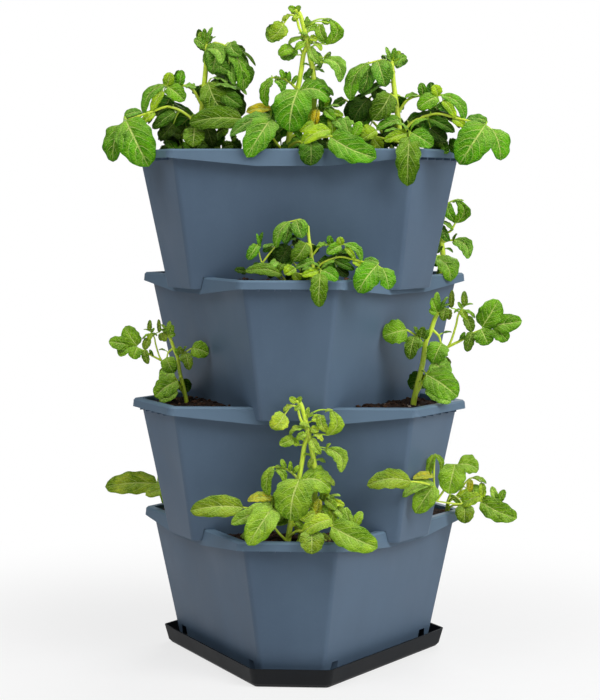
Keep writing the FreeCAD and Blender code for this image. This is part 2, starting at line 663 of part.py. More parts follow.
def make_plant(root, prop, stems, leaves, size, hand):
    """One plant as a single solid. hand is 1, or -1 for a plant mirrored left to right.

    A plant is laid out as it looks from the viewpoint: a point's y only moves it along that line of sight."""
    wide, high = size
    mean = (wide + high) / 2.0

    def located(point):
        foot = root + (prop - root) * (point[3] if len(point) > 3 else 0.0)
        to_viewer = (viewpoint - foot) * (1.0 / (foot.y - viewpoint.y))
        offset = FreeCAD.Vector(point[0] * hand * wide, 0.0, point[2] * high)
        return foot + offset - to_viewer * (point[1] * wide)

    stems = [[located(point) for point in stem] for stem in stems]
    solids = []
    for stem in stems:
        count = len(stem) - 1
        shrink = (stem_root_radius - stem_tip_radius) / count
        for index in range(count):
            radius = stem_root_radius - shrink * index
            solids.append(stalk(stem[index], stem[index + 1], radius * mean, (radius - shrink) * mean))
    for base, tip, width, side, *bow in leaves:
        blade_base = located(base)
        blade_tip = located(tip)
        looks_to = FreeCAD.Vector(side[0] * hand, side[1], side[2])
        start = nearest_on_stems(stems, blade_base)
        if start.distanceToPoint(blade_base) > stalk_radius / 4.0:
            solids.append(stalk(start, blade_base, stalk_radius, stalk_radius))
        bend = bow[0] * hand if bow else 0.0
        solids.append(leaf_blade(blade_base, blade_tip, width * mean, looks_to, bend))
    plant = solids[0].multiFuse(solids[1:])
    under_soil = Part.makeBox(
        root_patch, root_patch, root_patch,
        root - FreeCAD.Vector(root_patch / 2.0, root_patch / 2.0, root_patch))
    return plant.cut(under_soil)


def soil_point(level, degrees, inset, sideways, wall_level):
    """A point at the height of a level's soil, at an angle from -Y, inset from the wall of one pot."""
    at_corner = (degrees + level_turn(wall_level)) % 120.0 == 0.0
    reach = reach_to_corner(wall_top_outline) if at_corner else reach_to_long_side(wall_top_outline)
    point = FreeCAD.Vector(sideways, inset - reach, level_base_z(level) + soil_level)
    return FreeCAD.Rotation(UP, degrees).multVec(point)


def save(name, shape):
    """Write one node and print its volume."""
    shape.exportStep("parts/" + name + ".step")
    print(name, "solids", len(shape.Solids), "valid", shape.isValid(), "cm3", round(shape.Volume / 1000.0, 1))


tall_stems = TALL_STEMS + LOW_STEMS + LEFT_STEMS
tall_leaves = TALL_TOP_LEAVES + MIDDLE_LEAVES + LOW_RIGHT_LEAVES + LOW_LEFT_LEAVES
trailing_stems = LOW_STEMS[1:] + TRAILING_STEMS
trailing_leaves = LOW_RIGHT_LEAVES + TRAILING_LEAVES
hanging_stems = BUSHY_STEMS + HANGING_STEMS
hanging_leaves = BUSHY_LEAVES + HANGING_LEAVES
forked_stems = BRANCHED_STEMS + FORK_STEMS
forked_leaves = BRANCHED_LEAVES + FORK_LEAVES

# Angles from -Y to the sides where plants stand
FRONT_SIDE = 0.0
FRONT_RIGHT = 60.0
BACK_RIGHT = 120.0
BACK_LEFT = 240.0
FRONT_LEFT = 300.0

# Plant: its foot as level, angle, inset from the wall and sideways, then stems, leaves,
# millimetres per unit across and upwards, and hand
PLANTS = {
    "plant_1_front": ((1, FRONT_SIDE, 25, -5), tall_stems, tall_leaves, (1.16, 1.16), 1),
    "plant_1_right": ((1, BACK_RIGHT, 13, -51), trailing_stems, trailing_leaves, (1.0, 1.0), 1),
    "plant_1_left": ((1, BACK_LEFT, 39, 0), SIDE_STEMS + LEFT_STEMS, SIDE_LEAVES, (1.28, 1.28), 1),
    "plant_2_right": ((2, FRONT_RIGHT, 33, 6), forked_stems, forked_leaves, (1.19, 1.19), 1),
    "plant_2_left": ((2, FRONT_LEFT, 44, -14), forked_stems, forked_leaves, (0.88, 0.88), -1),
    "plant_3_front": ((3, FRONT_SIDE, 23, 29), hanging_stems, hanging_leaves, (0.86, 0.8), 1),
    "plant_3_right": ((3, BACK_RIGHT, 32, -47), EDGE_STEMS, EDGE_LEAVES, (1.24, 1.24), 1),
    "plant_4_middle": ((4, FRONT_SIDE, 31, -10), tall_stems, tall_leaves, (1.17, 1.17), 1),
    "plant_4_right": ((4, FRONT_RIGHT, 32, -23), hanging_stems, hanging_leaves, (1.17, 1.17), 1),
    "plant_4_left": ((4, FRONT_LEFT, 46, 17), BUSHY_STEMS, BUSHY_LEAVES + CLUSTER_LEAVES, (1.04, 1.4), -1),
}
# Plants with a shoot that trails round a corner of the next pot: the place beside that corner
PROPS = {"plant_1_right": (1, FRONT_RIGHT, 1, 3, 2)}

save("drip_tray", make_tray())
pot = make_pot()
for level in range(1, level_count + 1):
    save("pot_" + str(level), placed(pot, level))
    save("soil_" + str(level), placed(make_soil(level < level_count), level))
for name, (foot, stems, leaves, size, hand) in PLANTS.items():
    root = soil_point(*foot, foot[0])
    prop = soil_point(*PROPS[name]) if name in PROPS else root
    save(name, make_plant(root, prop, stems, leaves, size, hand))
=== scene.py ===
"""Looks of the vertical planter tower: pots, drip tray, crumbly soil and potato plants."""

import math
import random

import bmesh
import bpy
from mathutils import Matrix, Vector, geometry, noise


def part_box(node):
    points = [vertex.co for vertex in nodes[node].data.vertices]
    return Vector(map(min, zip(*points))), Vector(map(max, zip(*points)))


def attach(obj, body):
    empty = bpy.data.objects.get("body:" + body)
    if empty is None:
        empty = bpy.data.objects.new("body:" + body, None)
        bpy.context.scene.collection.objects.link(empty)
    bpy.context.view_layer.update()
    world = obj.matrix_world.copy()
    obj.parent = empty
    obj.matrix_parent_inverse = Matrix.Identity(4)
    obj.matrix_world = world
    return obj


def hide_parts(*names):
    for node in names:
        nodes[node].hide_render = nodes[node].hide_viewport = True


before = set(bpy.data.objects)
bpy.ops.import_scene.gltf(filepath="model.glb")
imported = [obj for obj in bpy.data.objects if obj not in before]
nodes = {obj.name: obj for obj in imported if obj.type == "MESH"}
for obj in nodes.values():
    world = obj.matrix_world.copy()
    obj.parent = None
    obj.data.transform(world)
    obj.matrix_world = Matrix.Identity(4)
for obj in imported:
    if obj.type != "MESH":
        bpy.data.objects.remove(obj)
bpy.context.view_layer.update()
MM = 0.001


def linear(red, green, blue):
    """Linear colour with alpha from sRGB values of 0 to 255."""
    def channel(value):
        value /= 255.0
        return value / 12.92 if value <= 0.04045 else ((value + 0.055) / 1.055) ** 2.4
    return channel(red), channel(green), channel(blue), 1.0


# Side veins of a leaf: pairs along it, how far each is swept forward, and how it bends on its way out
VEIN_PAIRS = 4.8
VEIN_SWEEP = 2.2
VEIN_BEND = 1.3

# Patterns of the materials: scales are per metre, depths in metres
FLOW_STRETCH = (6.0, 6.0, 1.6)
FLOW_SCALE = 1.4
CLOUD_SCALE = 9.0
SPECK_SCALE = 420.0
GRAIN_SCALE, GRAIN_DEPTH = 900.0, 0.0004
WAVE_SCALE, WAVE_DEPTH = 7.0, 0.004
# Painted light on plastic faces that look up: normal heights where it starts and is full, and its largest
# share
TOP_LIGHT_FROM, TOP_LIGHT_FULL, TOP_LIGHT_SHARE = 0.03, 0.18, 0.6
SOIL_FINE_SCALE, SOIL_COARSE_SCALE, SOIL_CRUMB_SCALE = 260.0, 70.0, 380.0
SOIL_BUMP_DEPTH = 0.002
NET_SCALE = 300.0
PATCH_SCALE, PATCH_DEPTH = 60.0, 0.005
WOBBLE_SCALE = 120.0
VEIN_DEPTH = 0.0016


class Nodes:
    """Short helper that adds and links shader nodes."""

    def __init__(self, name):
        self.material = bpy.data.materials.new(name)
        self.material.use_nodes = True
        self.tree = self.material.node_tree
        self.shader = self.tree.nodes["Principled BSDF"]
        self.output = self.tree.nodes["Material Output"]

    def add(self, kind, inputs=(), **settings):
        node = self.tree.nodes.new("ShaderNode" + kind)
        for key, value in settings.items():
            setattr(node, key, value)
        for key, value in dict(inputs).items():
            if isinstance(value, bpy.types.NodeSocket):
                self.tree.links.new(value, node.inputs[key])
            else:
                node.inputs[key].default_value = value
        return node

    def math(self, operation, first, second=0.0):
        return self.add("Math", {0: first, 1: second}, operation=operation).outputs[0]

    def ramp_between(self, value, low, high, to_low=0.0, to_high=1.0):
        return self.add("MapRange", {
            "Value": value, "From Min": low, "From Max": high, "To Min": to_low, "To Max": to_high,
        }, interpolation_type="SMOOTHSTEP").outputs["Result"]

    def mix(self, share, first, second, blend="MIX"):
        node = self.add("Mix", {"Factor": share}, data_type="RGBA", blend_type=blend)
        for socket, value in ((node.inputs[6], first), (node.inputs[7], second)):
            if isinstance(value, bpy.types.NodeSocket):
                self.tree.links.new(value, socket)
            else:
                socket.default_value = value
        return node.outputs[2]

    def noise(self, coordinates, scale, detail=3.0, roughness=0.55):
        return self.add("TexNoise", {
            "Vector": coordinates, "Scale": scale, "Detail": detail, "Roughness": roughness}).outputs["Fac"]

    def bump(self, height, strength, distance, normal=None):
        inputs = {"Height": height, "Strength": strength, "Distance": distance}
        if normal is not None:
            inputs["Normal"] = normal
        return self.add("Bump", inputs).outputs["Normal"]

    def set(self, **values):
        for key, value in values.items():
            socket = self.shader.inputs[key.replace("_", " ")]
            if isinstance(value, bpy.types.NodeSocket):
                self.tree.links.new(value, socket)
            else:
                socket.default_value = value


def moulded_plastic(name, colour, light, dark, painted_top_light, roughness):
    """Injection-moulded plastic: fine satin grain, faint flow marks, and painted light on faces that look
    up.
    """
    n = Nodes(name)
    place = n.add("TexCoord").outputs["Object"]
    stretched = n.add("Mapping", {"Vector": place, "Scale": FLOW_STRETCH}).outputs["Vector"]
    flow = n.noise(stretched, FLOW_SCALE, 4.0, 0.6)
    cloud = n.noise(place, CLOUD_SCALE, 5.0, 0.6)
    tone = n.mix(n.ramp_between(flow, 0.3, 0.7), dark, colour)
    tone = n.mix(n.ramp_between(cloud, 0.42, 0.8, 0.0, 0.6), tone, light)
    speck = n.noise(place, SPECK_SCALE, 2.0, 0.6)
    tone = n.mix(n.ramp_between(speck, 0.6, 0.72, 0.0, 0.25), tone, light)
    upward = n.add("SeparateXYZ", {"Vector": n.add("NewGeometry").outputs["Normal"]}).outputs["Z"]
    # Painted light: faces that look up are mixed towards a lighter tone, as if lit from above
    tone = n.mix(n.ramp_between(upward, TOP_LIGHT_FROM, TOP_LIGHT_FULL, 0.0, TOP_LIGHT_SHARE), tone, painted_top_light)
    grain = n.noise(place, GRAIN_SCALE, 2.0, 0.5)
    waves = n.noise(place, WAVE_SCALE, 2.0, 0.4)
    normal = n.bump(grain, 0.08, GRAIN_DEPTH)
    normal = n.bump(waves, 0.12, WAVE_DEPTH, normal)
    uneven = n.ramp_between(cloud, 0.3, 0.75, roughness, roughness + 0.12)
    n.set(Base_Color=tone, Roughness=uneven, Normal=normal, Specular_IOR_Level=0.28)
    return n.material


def soil_material():
    """Dark potting soil with lighter fibres; the pieces' own tone comes from an attribute."""
    n = Nodes("soil_crumbs")
    place = n.add("TexCoord").outputs["Object"]
    tone = n.add("Attribute", attribute_name="tone").outputs["Color"]
    fine = n.noise(place, SOIL_FINE_SCALE, 5.0, 0.65)
    coarse = n.noise(place, SOIL_COARSE_SCALE, 3.0, 0.6)
    colour = n.mix(n.ramp_between(fine, 0.35, 0.7, 0.0, 0.8), tone, linear(34, 24, 19))
    colour = n.mix(n.ramp_between(coarse, 0.5, 0.75, 0.0, 0.55), colour, linear(96, 66, 48))
    crumbs = n.add("TexVoronoi", {"Vector": place, "Scale": SOIL_CRUMB_SCALE}).outputs["Distance"]
    normal = n.bump(crumbs, 0.9, SOIL_BUMP_DEPTH)
    normal = n.bump(fine, 0.7, SOIL_BUMP_DEPTH, normal)
    n.set(Base_Color=colour, Roughness=0.95, Normal=normal, Specular_IOR_Level=0.2)
    return n.material


def leaf_material():
    """Leaf with a pale midrib, swept side veins, a fine net between them, puckered cells, and painted sheen
    and shade.
    """
    n = Nodes("potato_leaf")
    uv = n.add("UVMap", uv_map="leaf").outputs["UV"]
    parts = n.add("SeparateXYZ", {"Vector": uv})
    along = parts.outputs["X"]
    across = n.math("ABSOLUTE", n.math("MULTIPLY", n.math("SUBTRACT", parts.outputs["Y"], 0.5), 2.0))
    tone = n.add("Attribute", attribute_name="tone").outputs["Color"]
    place = n.add("TexCoord").outputs["Object"]

    bent = n.math("POWER", across, VEIN_BEND)
    swept = n.math("SUBTRACT", n.math("MULTIPLY", along, VEIN_PAIRS), n.math("MULTIPLY", bent, VEIN_SWEEP))
    wobble = n.math("MULTIPLY", n.noise(place, WOBBLE_SCALE, 2.0), 0.4)
    phase = n.math("FRACT", n.math("ADD", swept, wobble))
    from_vein = n.math("ABSOLUTE", n.math("SUBTRACT", phase, 0.5))
    thin = n.ramp_between(across, 0.0, 1.0, 0.45, 0.485)
    side_vein = n.ramp_between(n.math("SUBTRACT", from_vein, thin), -0.012, 0.012)
    side_vein = n.math("MULTIPLY", side_vein, n.ramp_between(across, 0.5, 1.0, 1.0, 0.2))
    midrib = n.ramp_between(across, 0.02, 0.07, 1.0, 0.0)
    net = n.add("TexVoronoi", {"Vector": place, "Scale": NET_SCALE}, feature="DISTANCE_TO_EDGE")
    net_line = n.ramp_between(net.outputs["Distance"], 0.03, 0.14, 1.0, 0.0)

    patches = n.noise(place, PATCH_SCALE, 4.0, 0.65)
    height = n.math("ADD", n.math("MULTIPLY", net_line, -0.6), n.math("MULTIPLY", side_vein, -0.7))
    height = n.math("ADD", height, n.math("MULTIPLY", midrib, -0.8))
    normal = n.bump(height, 0.8, VEIN_DEPTH)
    normal = n.bump(patches, 0.6, PATCH_DEPTH, normal)
    upward = n.add("SeparateXYZ", {"Vector": normal}).outputs["Z"]

    green = n.add("SeparateColor", {"Color": tone}).outputs["Green"]
    fullness = n.ramp_between(green, 0.02, 0.3, 0.2, 1.0)
    dark = n.mix(1.0, tone, linear(120, 158, 90), "MULTIPLY")
    light = n.mix(n.math("MULTIPLY", fullness, 0.5), tone, linear(190, 226, 56))
    pale = n.mix(n.math("MULTIPLY", fullness, 0.9), tone, linear(228, 246, 140))
    sheen = n.mix(n.math("MULTIPLY", fullness, 0.75), tone, linear(194, 236, 120))
    colour = n.mix(n.ramp_between(patches, 0.36, 0.64), dark, tone)
    # Painted light and shade on the puckers: each gets lighter from one side vein towards the next
    painted_crest_light = n.ramp_between(phase, 0.0, 0.75)
    colour = n.mix(n.math("MULTIPLY", painted_crest_light, 0.28), colour, light)
    near_stalk = n.ramp_between(along, 0.0, 0.4, 1.0, 0.0)
    glow = n.math("MULTIPLY", near_stalk, n.ramp_between(across, 0.1, 0.9, 1.0, 0.3))
    colour = n.mix(n.math("MULTIPLY", glow, 0.5), colour, light)
    colour = n.mix(n.ramp_between(across, 0.7, 1.0, 0.0, 0.4), colour, dark)
    # Painted sheen on faces that look up, and painted shade on faces that look down
    colour = n.mix(n.ramp_between(upward, 0.22, 0.9, 0.0, 0.62), colour, sheen)
    colour = n.mix(n.ramp_between(upward, -0.7, 0.2, 0.6, 0.0), colour, dark)
    colour = n.mix(n.math("MULTIPLY", net_line, 0.12), colour, light)
    vein = n.math("MAXIMUM", n.math("MULTIPLY", side_vein, 0.75), midrib)
    vein = n.math("MULTIPLY", vein, n.ramp_between(along, 0.3, 1.0, 0.95, 0.5))
    colour = n.mix(vein, colour, pale)

    n.set(Base_Color=colour, Roughness=0.42, Normal=normal, Specular_IOR_Level=0.07)
    n.set(Subsurface_Weight=0.12, Subsurface_Scale=0.002, Subsurface_Radius=(0.6, 1.0, 0.2))
    return n.material


def stem_material():
    """Juicy stem: pale lime with darker green streaks along it and small painted pale highlights."""
    n = Nodes("potato_stem")
    uv = n.add("UVMap", uv_map="leaf").outputs["UV"]
    tone = n.add("Attribute", attribute_name="tone").outputs["Color"]
    place = n.add("TexCoord").outputs["Object"]
    streaks = n.add("Mapping", {"Vector": uv, "Scale": (1.5, 14.0, 1.0)}).outputs["Vector"]
    streak = n.noise(streaks, 2.0, 3.0, 0.6)
    painted_highlight_spots = n.noise(place, 240.0, 3.0, 0.6)
    colour = n.mix(n.ramp_between(streak, 0.35, 0.7, 0.0, 0.5), tone, linear(150, 204, 40))
    # Painted highlights: small pale spots standing in for light shining through the stem
    colour = n.mix(n.ramp_between(painted_highlight_spots, 0.5, 0.75, 0.0, 0.4), colour, linear(240, 244, 150))
    normal = n.bump(streak, 0.3, 0.0008)
    n.set(Base_Color=colour, Roughness=0.4, Normal=normal, Specular_IOR_Level=0.3)
    n.set(Subsurface_Weight=0.35, Subsurface_Scale=0.004, Subsurface_Radius=(1.0, 1.0, 0.3))
    return n.material


# Each plastic: base, lighter and darker tones, the tone of its painted light on upward faces, roughness
POT_PLASTIC = moulded_plastic(
    "pot_plastic_satin", linear(82, 102, 123), linear(90, 110, 131), linear(75, 94, 115),
    linear(114, 141, 161), 0.48)
TRAY_PLASTIC = moulded_plastic(
    "tray_plastic_satin", linear(14, 18, 23), linear(22, 26, 32), linear(10, 13, 17),
    linear(21, 25, 29), 0.62)
SOIL = soil_material()
LEAF = leaf_material()
STEM = stem_material()

for name, node in nodes.items():
    if name.startswith("pot_") or name == "drip_tray":
        node.data.materials.clear()
        node.data.materials.append(TRAY_PLASTIC if name == "drip_tray" else POT_PLASTIC)

TONES = {
    "mid": linear(80, 166, 8),
    "bright": linear(116, 190, 16),
    "lime": linear(186, 222, 24),
    "pale": linear(142, 204, 80),
    "dark": linear(36, 104, 0),
    # Near-black green: painted shade for leaves deep among the others
    "deep": linear(18, 60, 0),
    "teal": linear(64, 150, 44),
    "yellow": linear(246, 204, 10),
    "olive": linear(78, 124, 0),
}
YOUNG_TONE = linear(226, 236, 76)
# Where the plants are laid out to be seen from, in millimetres
VIEWPOINT = Vector((148.0, -2346.0, 566.0))
STEM_TONE = linear(222, 244, 76)
PETIOLE_TONE = linear(184, 222, 66)
# Ways that a leaf's upper side can look
FRONT = (0.0, -1.0, 0.3)
BACK = (0.0, 1.0, 0.3)
SKY = (0.0, -0.4, 1.0)
RAISED = (-0.1, -1.0, 0.7)
LEFT = (-0.7, -1.0, 0.15)
RIGHT = (0.6, -1.0, 0.3)
LEAF_LENGTH_STEPS = 20
LEAF_SIDE_STEPS = 6
LEAF_WIDEST = 0.42
LEAF_ROUNDNESS = 0.34
LEAF_THICKNESS = 0.0005
ROUGH_TURN = 6.28

# Ranges that each leaf draws from, as shares of its size
FOLD = (0.08, 0.42)
ARCH = (0.08, 0.17)
WAVES = (1.3, 2.6)
WAVE_SIZE = (0.05, 0.15)
RAGGED = (0.03, 0.07)
TWIST = (-0.25, 0.25)
SKEW = (-0.04, 0.04)
SHADE = (0.88, 1.12)
PUCKER = 0.09
MIDRIB_SUNK, MIDRIB_BREADTH = 0.05, 0.1
TEETH = 23.0

# Radii at the start and the end, in millimetres for a plant of size 1
MAIN_STEM = (3.1, 2.1)
SIDE_STEM = (1.5, 0.9)
STALK = (0.9, 0.6)
FOOT_STALK = (1.2, 0.7)
STALK_RISE = 0.12
LEAST_STALK = 0.6

# Height on a plant from which its leaves get younger, the height they take for it, and how much
YOUNG_FROM, YOUNG_OVER, YOUNG_GAIN = 85.0, 45.0, 0.3


def leaf_breadth(share):
    """Half breadth of a leaf along its midrib, at most 1: rounded at the base, pointed at the tip."""
    share = min(max(share, 0.0), 1.0)
    power_tip = LEAF_ROUNDNESS * (1.0 - LEAF_WIDEST) / LEAF_WIDEST
    top = LEAF_WIDEST ** LEAF_ROUNDNESS * (1.0 - LEAF_WIDEST) ** power_tip
    return share ** LEAF_ROUNDNESS * (1.0 - share) ** power_tip / top


class Piece:
    """Mesh under construction with the leaf UV map and the tone attribute."""

    def __init__(self, name):
        self.name = name
        self.mesh = bmesh.new()
        self.uv = self.mesh.loops.layers.uv.new("leaf")
        self.tone = self.mesh.verts.layers.float_color.new("tone")

    def grid(self, rows, tone):
        """Faces between rows of (point, uv) pairs."""
        made = []
        for row in rows:
            line = []
            for point, uv in row:
                vert = self.mesh.verts.new(point)
                vert[self.tone] = tone
                line.append((vert, uv))
            made.append(line)
        for low, high in zip(made, made[1:]):
            for index in range(len(low) - 1):
                corners = (low[index], low[index + 1], high[index + 1], high[index])
                face = self.mesh.faces.new([vert for vert, _ in corners])
                face.smooth = True
                for loop, (_, uv) in zip(face.loops, corners):
                    loop[self.uv].uv = uv

    def done(self, material, body, node=None):
        """Object of the finished mesh that rides on a body and may replace a solid."""
        data = bpy.data.meshes.new(self.name)
        self.mesh.to_mesh(data)
        self.mesh.free()
        data.materials.append(material)
        piece = bpy.data.objects.new(self.name, data)
        bpy.context.scene.collection.objects.link(piece)
        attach(piece, body)
        if node:
            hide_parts(node)
        return piece


def add_leaf(piece, base, tip, width, side, tone, bow, rng):
    """Thin leaf with two skins: folded along its midrib, arched, wavy, puckered and bowed sideways."""
    along = tip - base
    length = along.length
    forward = along.normalized()
    across = forward.cross(Vector(side)).normalized()
    face = across.cross(forward).normalized()
    fold = rng.uniform(*FOLD)
    arch = rng.uniform(*ARCH)
    waves = rng.uniform(*WAVES)
    phase = rng.uniform(0.0, ROUGH_TURN)
    wave_size = rng.uniform(*WAVE_SIZE)
    ragged = rng.uniform(*RAGGED)
    twist = rng.uniform(*TWIST)
    skew = bow + rng.uniform(*SKEW)
    shade = rng.uniform(*SHADE)
    colour = [min(channel * shade, 1.0) for channel in tone[:3]] + [1.0]
    rows, backs = [], []
    for step in range(LEAF_LENGTH_STEPS + 1):
        share = step / LEAF_LENGTH_STEPS
        half = width / 2.0 * max(leaf_breadth(share), 0.03)
        centre = base + forward * (length * share) + face * (arch * length * 4.0 * share * (1.0 - share))
        centre += across * (skew * length * math.sin(math.pi * share))
        turn = twist * (share - 0.3)
        row, back = [], []
        for column in range(-LEAF_SIDE_STEPS, LEAF_SIDE_STEPS + 1):
            v = column / LEAF_SIDE_STEPS
            edge = abs(v)
            sway = math.sin(waves * ROUGH_TURN * share + phase + (1.7 if v > 0 else 0.0))
            lift = fold * edge * half - 0.45 * fold * edge ** 3 * half
            lift += wave_size * half * edge * edge * sway
            vein = (share * VEIN_PAIRS - edge ** VEIN_BEND * VEIN_SWEEP) % 1.0
            lift += PUCKER * half * math.sin(math.pi * vein) * (1.0 - edge ** 4) * min(1.0, edge * 4.0)
            lift -= MIDRIB_SUNK * half * math.exp(-((v / MIDRIB_BREADTH) ** 2))
            teeth = 1.0 + ragged * edge * math.sin(TEETH * share + phase * v)
            reach = v * half * math.cos(fold * edge) * teeth
            point = centre + across * (reach * math.cos(turn)) + face * (lift + reach * math.sin(turn))
            uv = (share, 0.5 + v / 2.0)
            row.append((point, uv))
            back.append((point - face * LEAF_THICKNESS, uv))
        rows.append(row)
        backs.append(back[::-1])
    piece.grid(rows, colour)
    paler = [min(channel * 1.15 + 0.03, 1.0) for channel in colour[:3]] + [1.0]
    piece.grid(backs, paler)


def smooth_path(points, steps=5):
    """Points of a Catmull-Rom curve through the given points."""
    padded = [points[0] * 2.0 - points[1]] + points + [points[-1] * 2.0 - points[-2]]
    path = []
    for index in range(1, len(padded) - 2):
        p0, p1, p2, p3 = padded[index - 1:index + 3]
        for step in range(steps):
            t = step / steps
            path.append(0.5 * (
                p1 * 2.0 + (p2 - p0) * t + (p0 * 2.0 - p1 * 5.0 + p2 * 4.0 - p3) * t * t
                + (p1 * 3.0 - p0 - p2 * 3.0 + p3) * t ** 3))
    path.append(points[-1])
    return path


def add_tube(piece, points, start_radius, end_radius, tone, ridges=0.07, sides=10):
    """Tapered stem along the points, slightly ridged."""
    path = smooth_path(points)
    count = len(path) - 1
    other = None
    rows = []
    length = 0.0
    for index, point in enumerate(path):
        ahead = path[min(index + 1, count)] - path[max(index - 1, 0)]
        ahead.normalize()
        if other is None:
            other = ahead.cross(Vector((0.3, 1.0, 0.1))).normalized()
        other = (other - ahead * other.dot(ahead)).normalized()
        third = ahead.cross(other)
        share = index / count
        radius = start_radius + (end_radius - start_radius) * share
        if index:
            length += (point - path[index - 1]).length
        row = []
        for corner in range(sides + 1):
            angle = 2.0 * math.pi * corner / sides
            r = radius * (1.0 + ridges * math.cos(5.0 * angle))
            row.append((point + other * (r * math.cos(angle)) + third * (r * math.sin(angle)),
                        (length * 30.0, corner / sides)))
        rows.append(row)
    piece.grid(rows, tone)
    cap = path[-1] + (path[-1] - path[-2]).normalized() * end_radius * 0.8
    piece.grid([rows[-1], [(cap, (0.0, 0.0)) for _ in rows[-1]]], tone)


def nearest(paths, point):
    """The nearest point of the stems' lines."""
    best = None
    for path in paths:
        for start, end in zip(path, path[1:]):
            along = end - start
            share = min(max((point - start).dot(along) / along.length_squared, 0.0), 1.0)
            candidate = start + along * share
            if best is None or (candidate - point).length < (best - point).length:
                best = candidate
    return best


def make_plant(name, body, root, prop, stems, leaves, size, hand, undergrowth, youth, rear, seed):
    """Stems and leaves of one plant as two pieces that ride on its level.

    A plant is laid out as it looks from the viewpoint: a point's y only moves it along that line of
    sight. A fourth value of a point shifts its foot from the root to the prop."""
    rng = random.Random(seed)
    wide, high = size
    mean = (wide + high) / 2.0

    def coloured(tone, rise):
        """Colour of a leaf: a younger one towards the top of the plant."""
        share = min(youth + YOUNG_GAIN * min(max((rise - YOUNG_FROM) / YOUNG_OVER, 0.0), 1.0), 1.0)
        return [old + (new - old) * share for old, new in zip(TONES[tone], YOUNG_TONE)]

    def located(point):
        """Place of a point of the plant, in metres."""
        foot = root + (prop - root) * (point[3] if len(point) > 3 else 0.0)
        to_viewer = (VIEWPOINT - foot) / (foot.y - VIEWPOINT.y)
        beside = Vector((point[0] * hand * wide, 0.0, point[2] * high))
        return (foot + beside - to_viewer * (point[1] * wide)) * MM

    def add_stalk(blade_base, least):
        """Stalk from the nearest stem to a blade that starts further than the least distance away."""
        start = nearest(paths, blade_base)
        gap = (start - blade_base).length
        if gap > least:
            middle = (start + blade_base) / 2.0 + Vector((0, 0, STALK_RISE)) * gap
            radii = [radius * mean * MM for radius in STALK]
            add_tube(stem_piece, [start, middle, blade_base], *radii, PETIOLE_TONE, 0.0, 7)

    stem_piece = Piece(name + "_stems")
    leaf_piece = Piece(name + "_leaves")
    paths = []
    for stem in stems:
        points = [located(point) for point in stem]
        paths.append(smooth_path(points))
        from_soil = stem[0][2] < 0
        thick, end = MAIN_STEM if from_soil else SIDE_STEM
        add_tube(stem_piece, points, thick * mean * MM, end * mean * MM, STEM_TONE)
    for base, tip, width, side, tone, *bow in leaves:
        blade_base, blade_tip = located(base), located(tip)
        looks_to = (side[0] * hand, side[1], side[2])
        add_stalk(blade_base, LEAST_STALK * MM)
        bend = bow[0] * hand if bow else 0.0
        colour = coloured(tone, base[2])
        add_leaf(leaf_piece, blade_base, blade_tip, width * mean * MM, looks_to, colour, bend, rng)
    # Small leaves at the foot, mostly in the darkest tones: painted shade filling the gaps between the
    # plants
    for _ in range(undergrowth):
        x, y = rng.uniform(-46.0, 46.0), rng.uniform(1.0, 18.0)
        base = (x, y, rng.uniform(9.0, 30.0) * (1.0 - abs(x) / 90.0))
        tip = (x + rng.uniform(-15.0, 15.0), y - rng.uniform(2.0, 12.0),
               max(base[2] - rng.uniform(-4.0, 16.0), 3.0))
        foot, blade_base, blade_tip = located((x * 0.6, y, -2.0)), located(base), located(tip)
        radii = [radius * MM for radius in FOOT_STALK]
        add_tube(stem_piece, [foot, (foot + blade_base) / 2.0, blade_base], *radii, PETIOLE_TONE, 0.0, 6)
        colour = coloured(rng.choice(("deep", "deep", "dark", "dark", "mid", "olive")), 0.0)
        breadth = rng.uniform(9.0, 17.0) * mean * MM
        add_leaf(leaf_piece, blade_base, blade_tip, breadth, FRONT, colour, 0.0, rng)
    behind = random.Random(seed + 100)
    for base, tip, width, *_ in leaves[::2] if rear else ():
        if min(base[2], tip[2]) < 14:
            continue
        depth = behind.uniform(14.0, 34.0)
        shift = behind.uniform(-4.0, 4.0)
        blade_base = located((base[0] + shift, depth, base[2] - 2.0))
        blade_tip = located((tip[0] + shift, depth + behind.uniform(-4.0, 8.0),
                             tip[2] + behind.uniform(-2.0, 4.0)))
        add_stalk(blade_base, 0.0)
        colour = coloured(behind.choice(("mid", "dark", "dark", "teal")), base[2])
        add_leaf(leaf_piece, blade_base, blade_tip, width * mean * MM, BACK, colour, 0.0, behind)
    stem_piece.done(STEM, body)
    leaf_piece.done(LEAF, body, name)


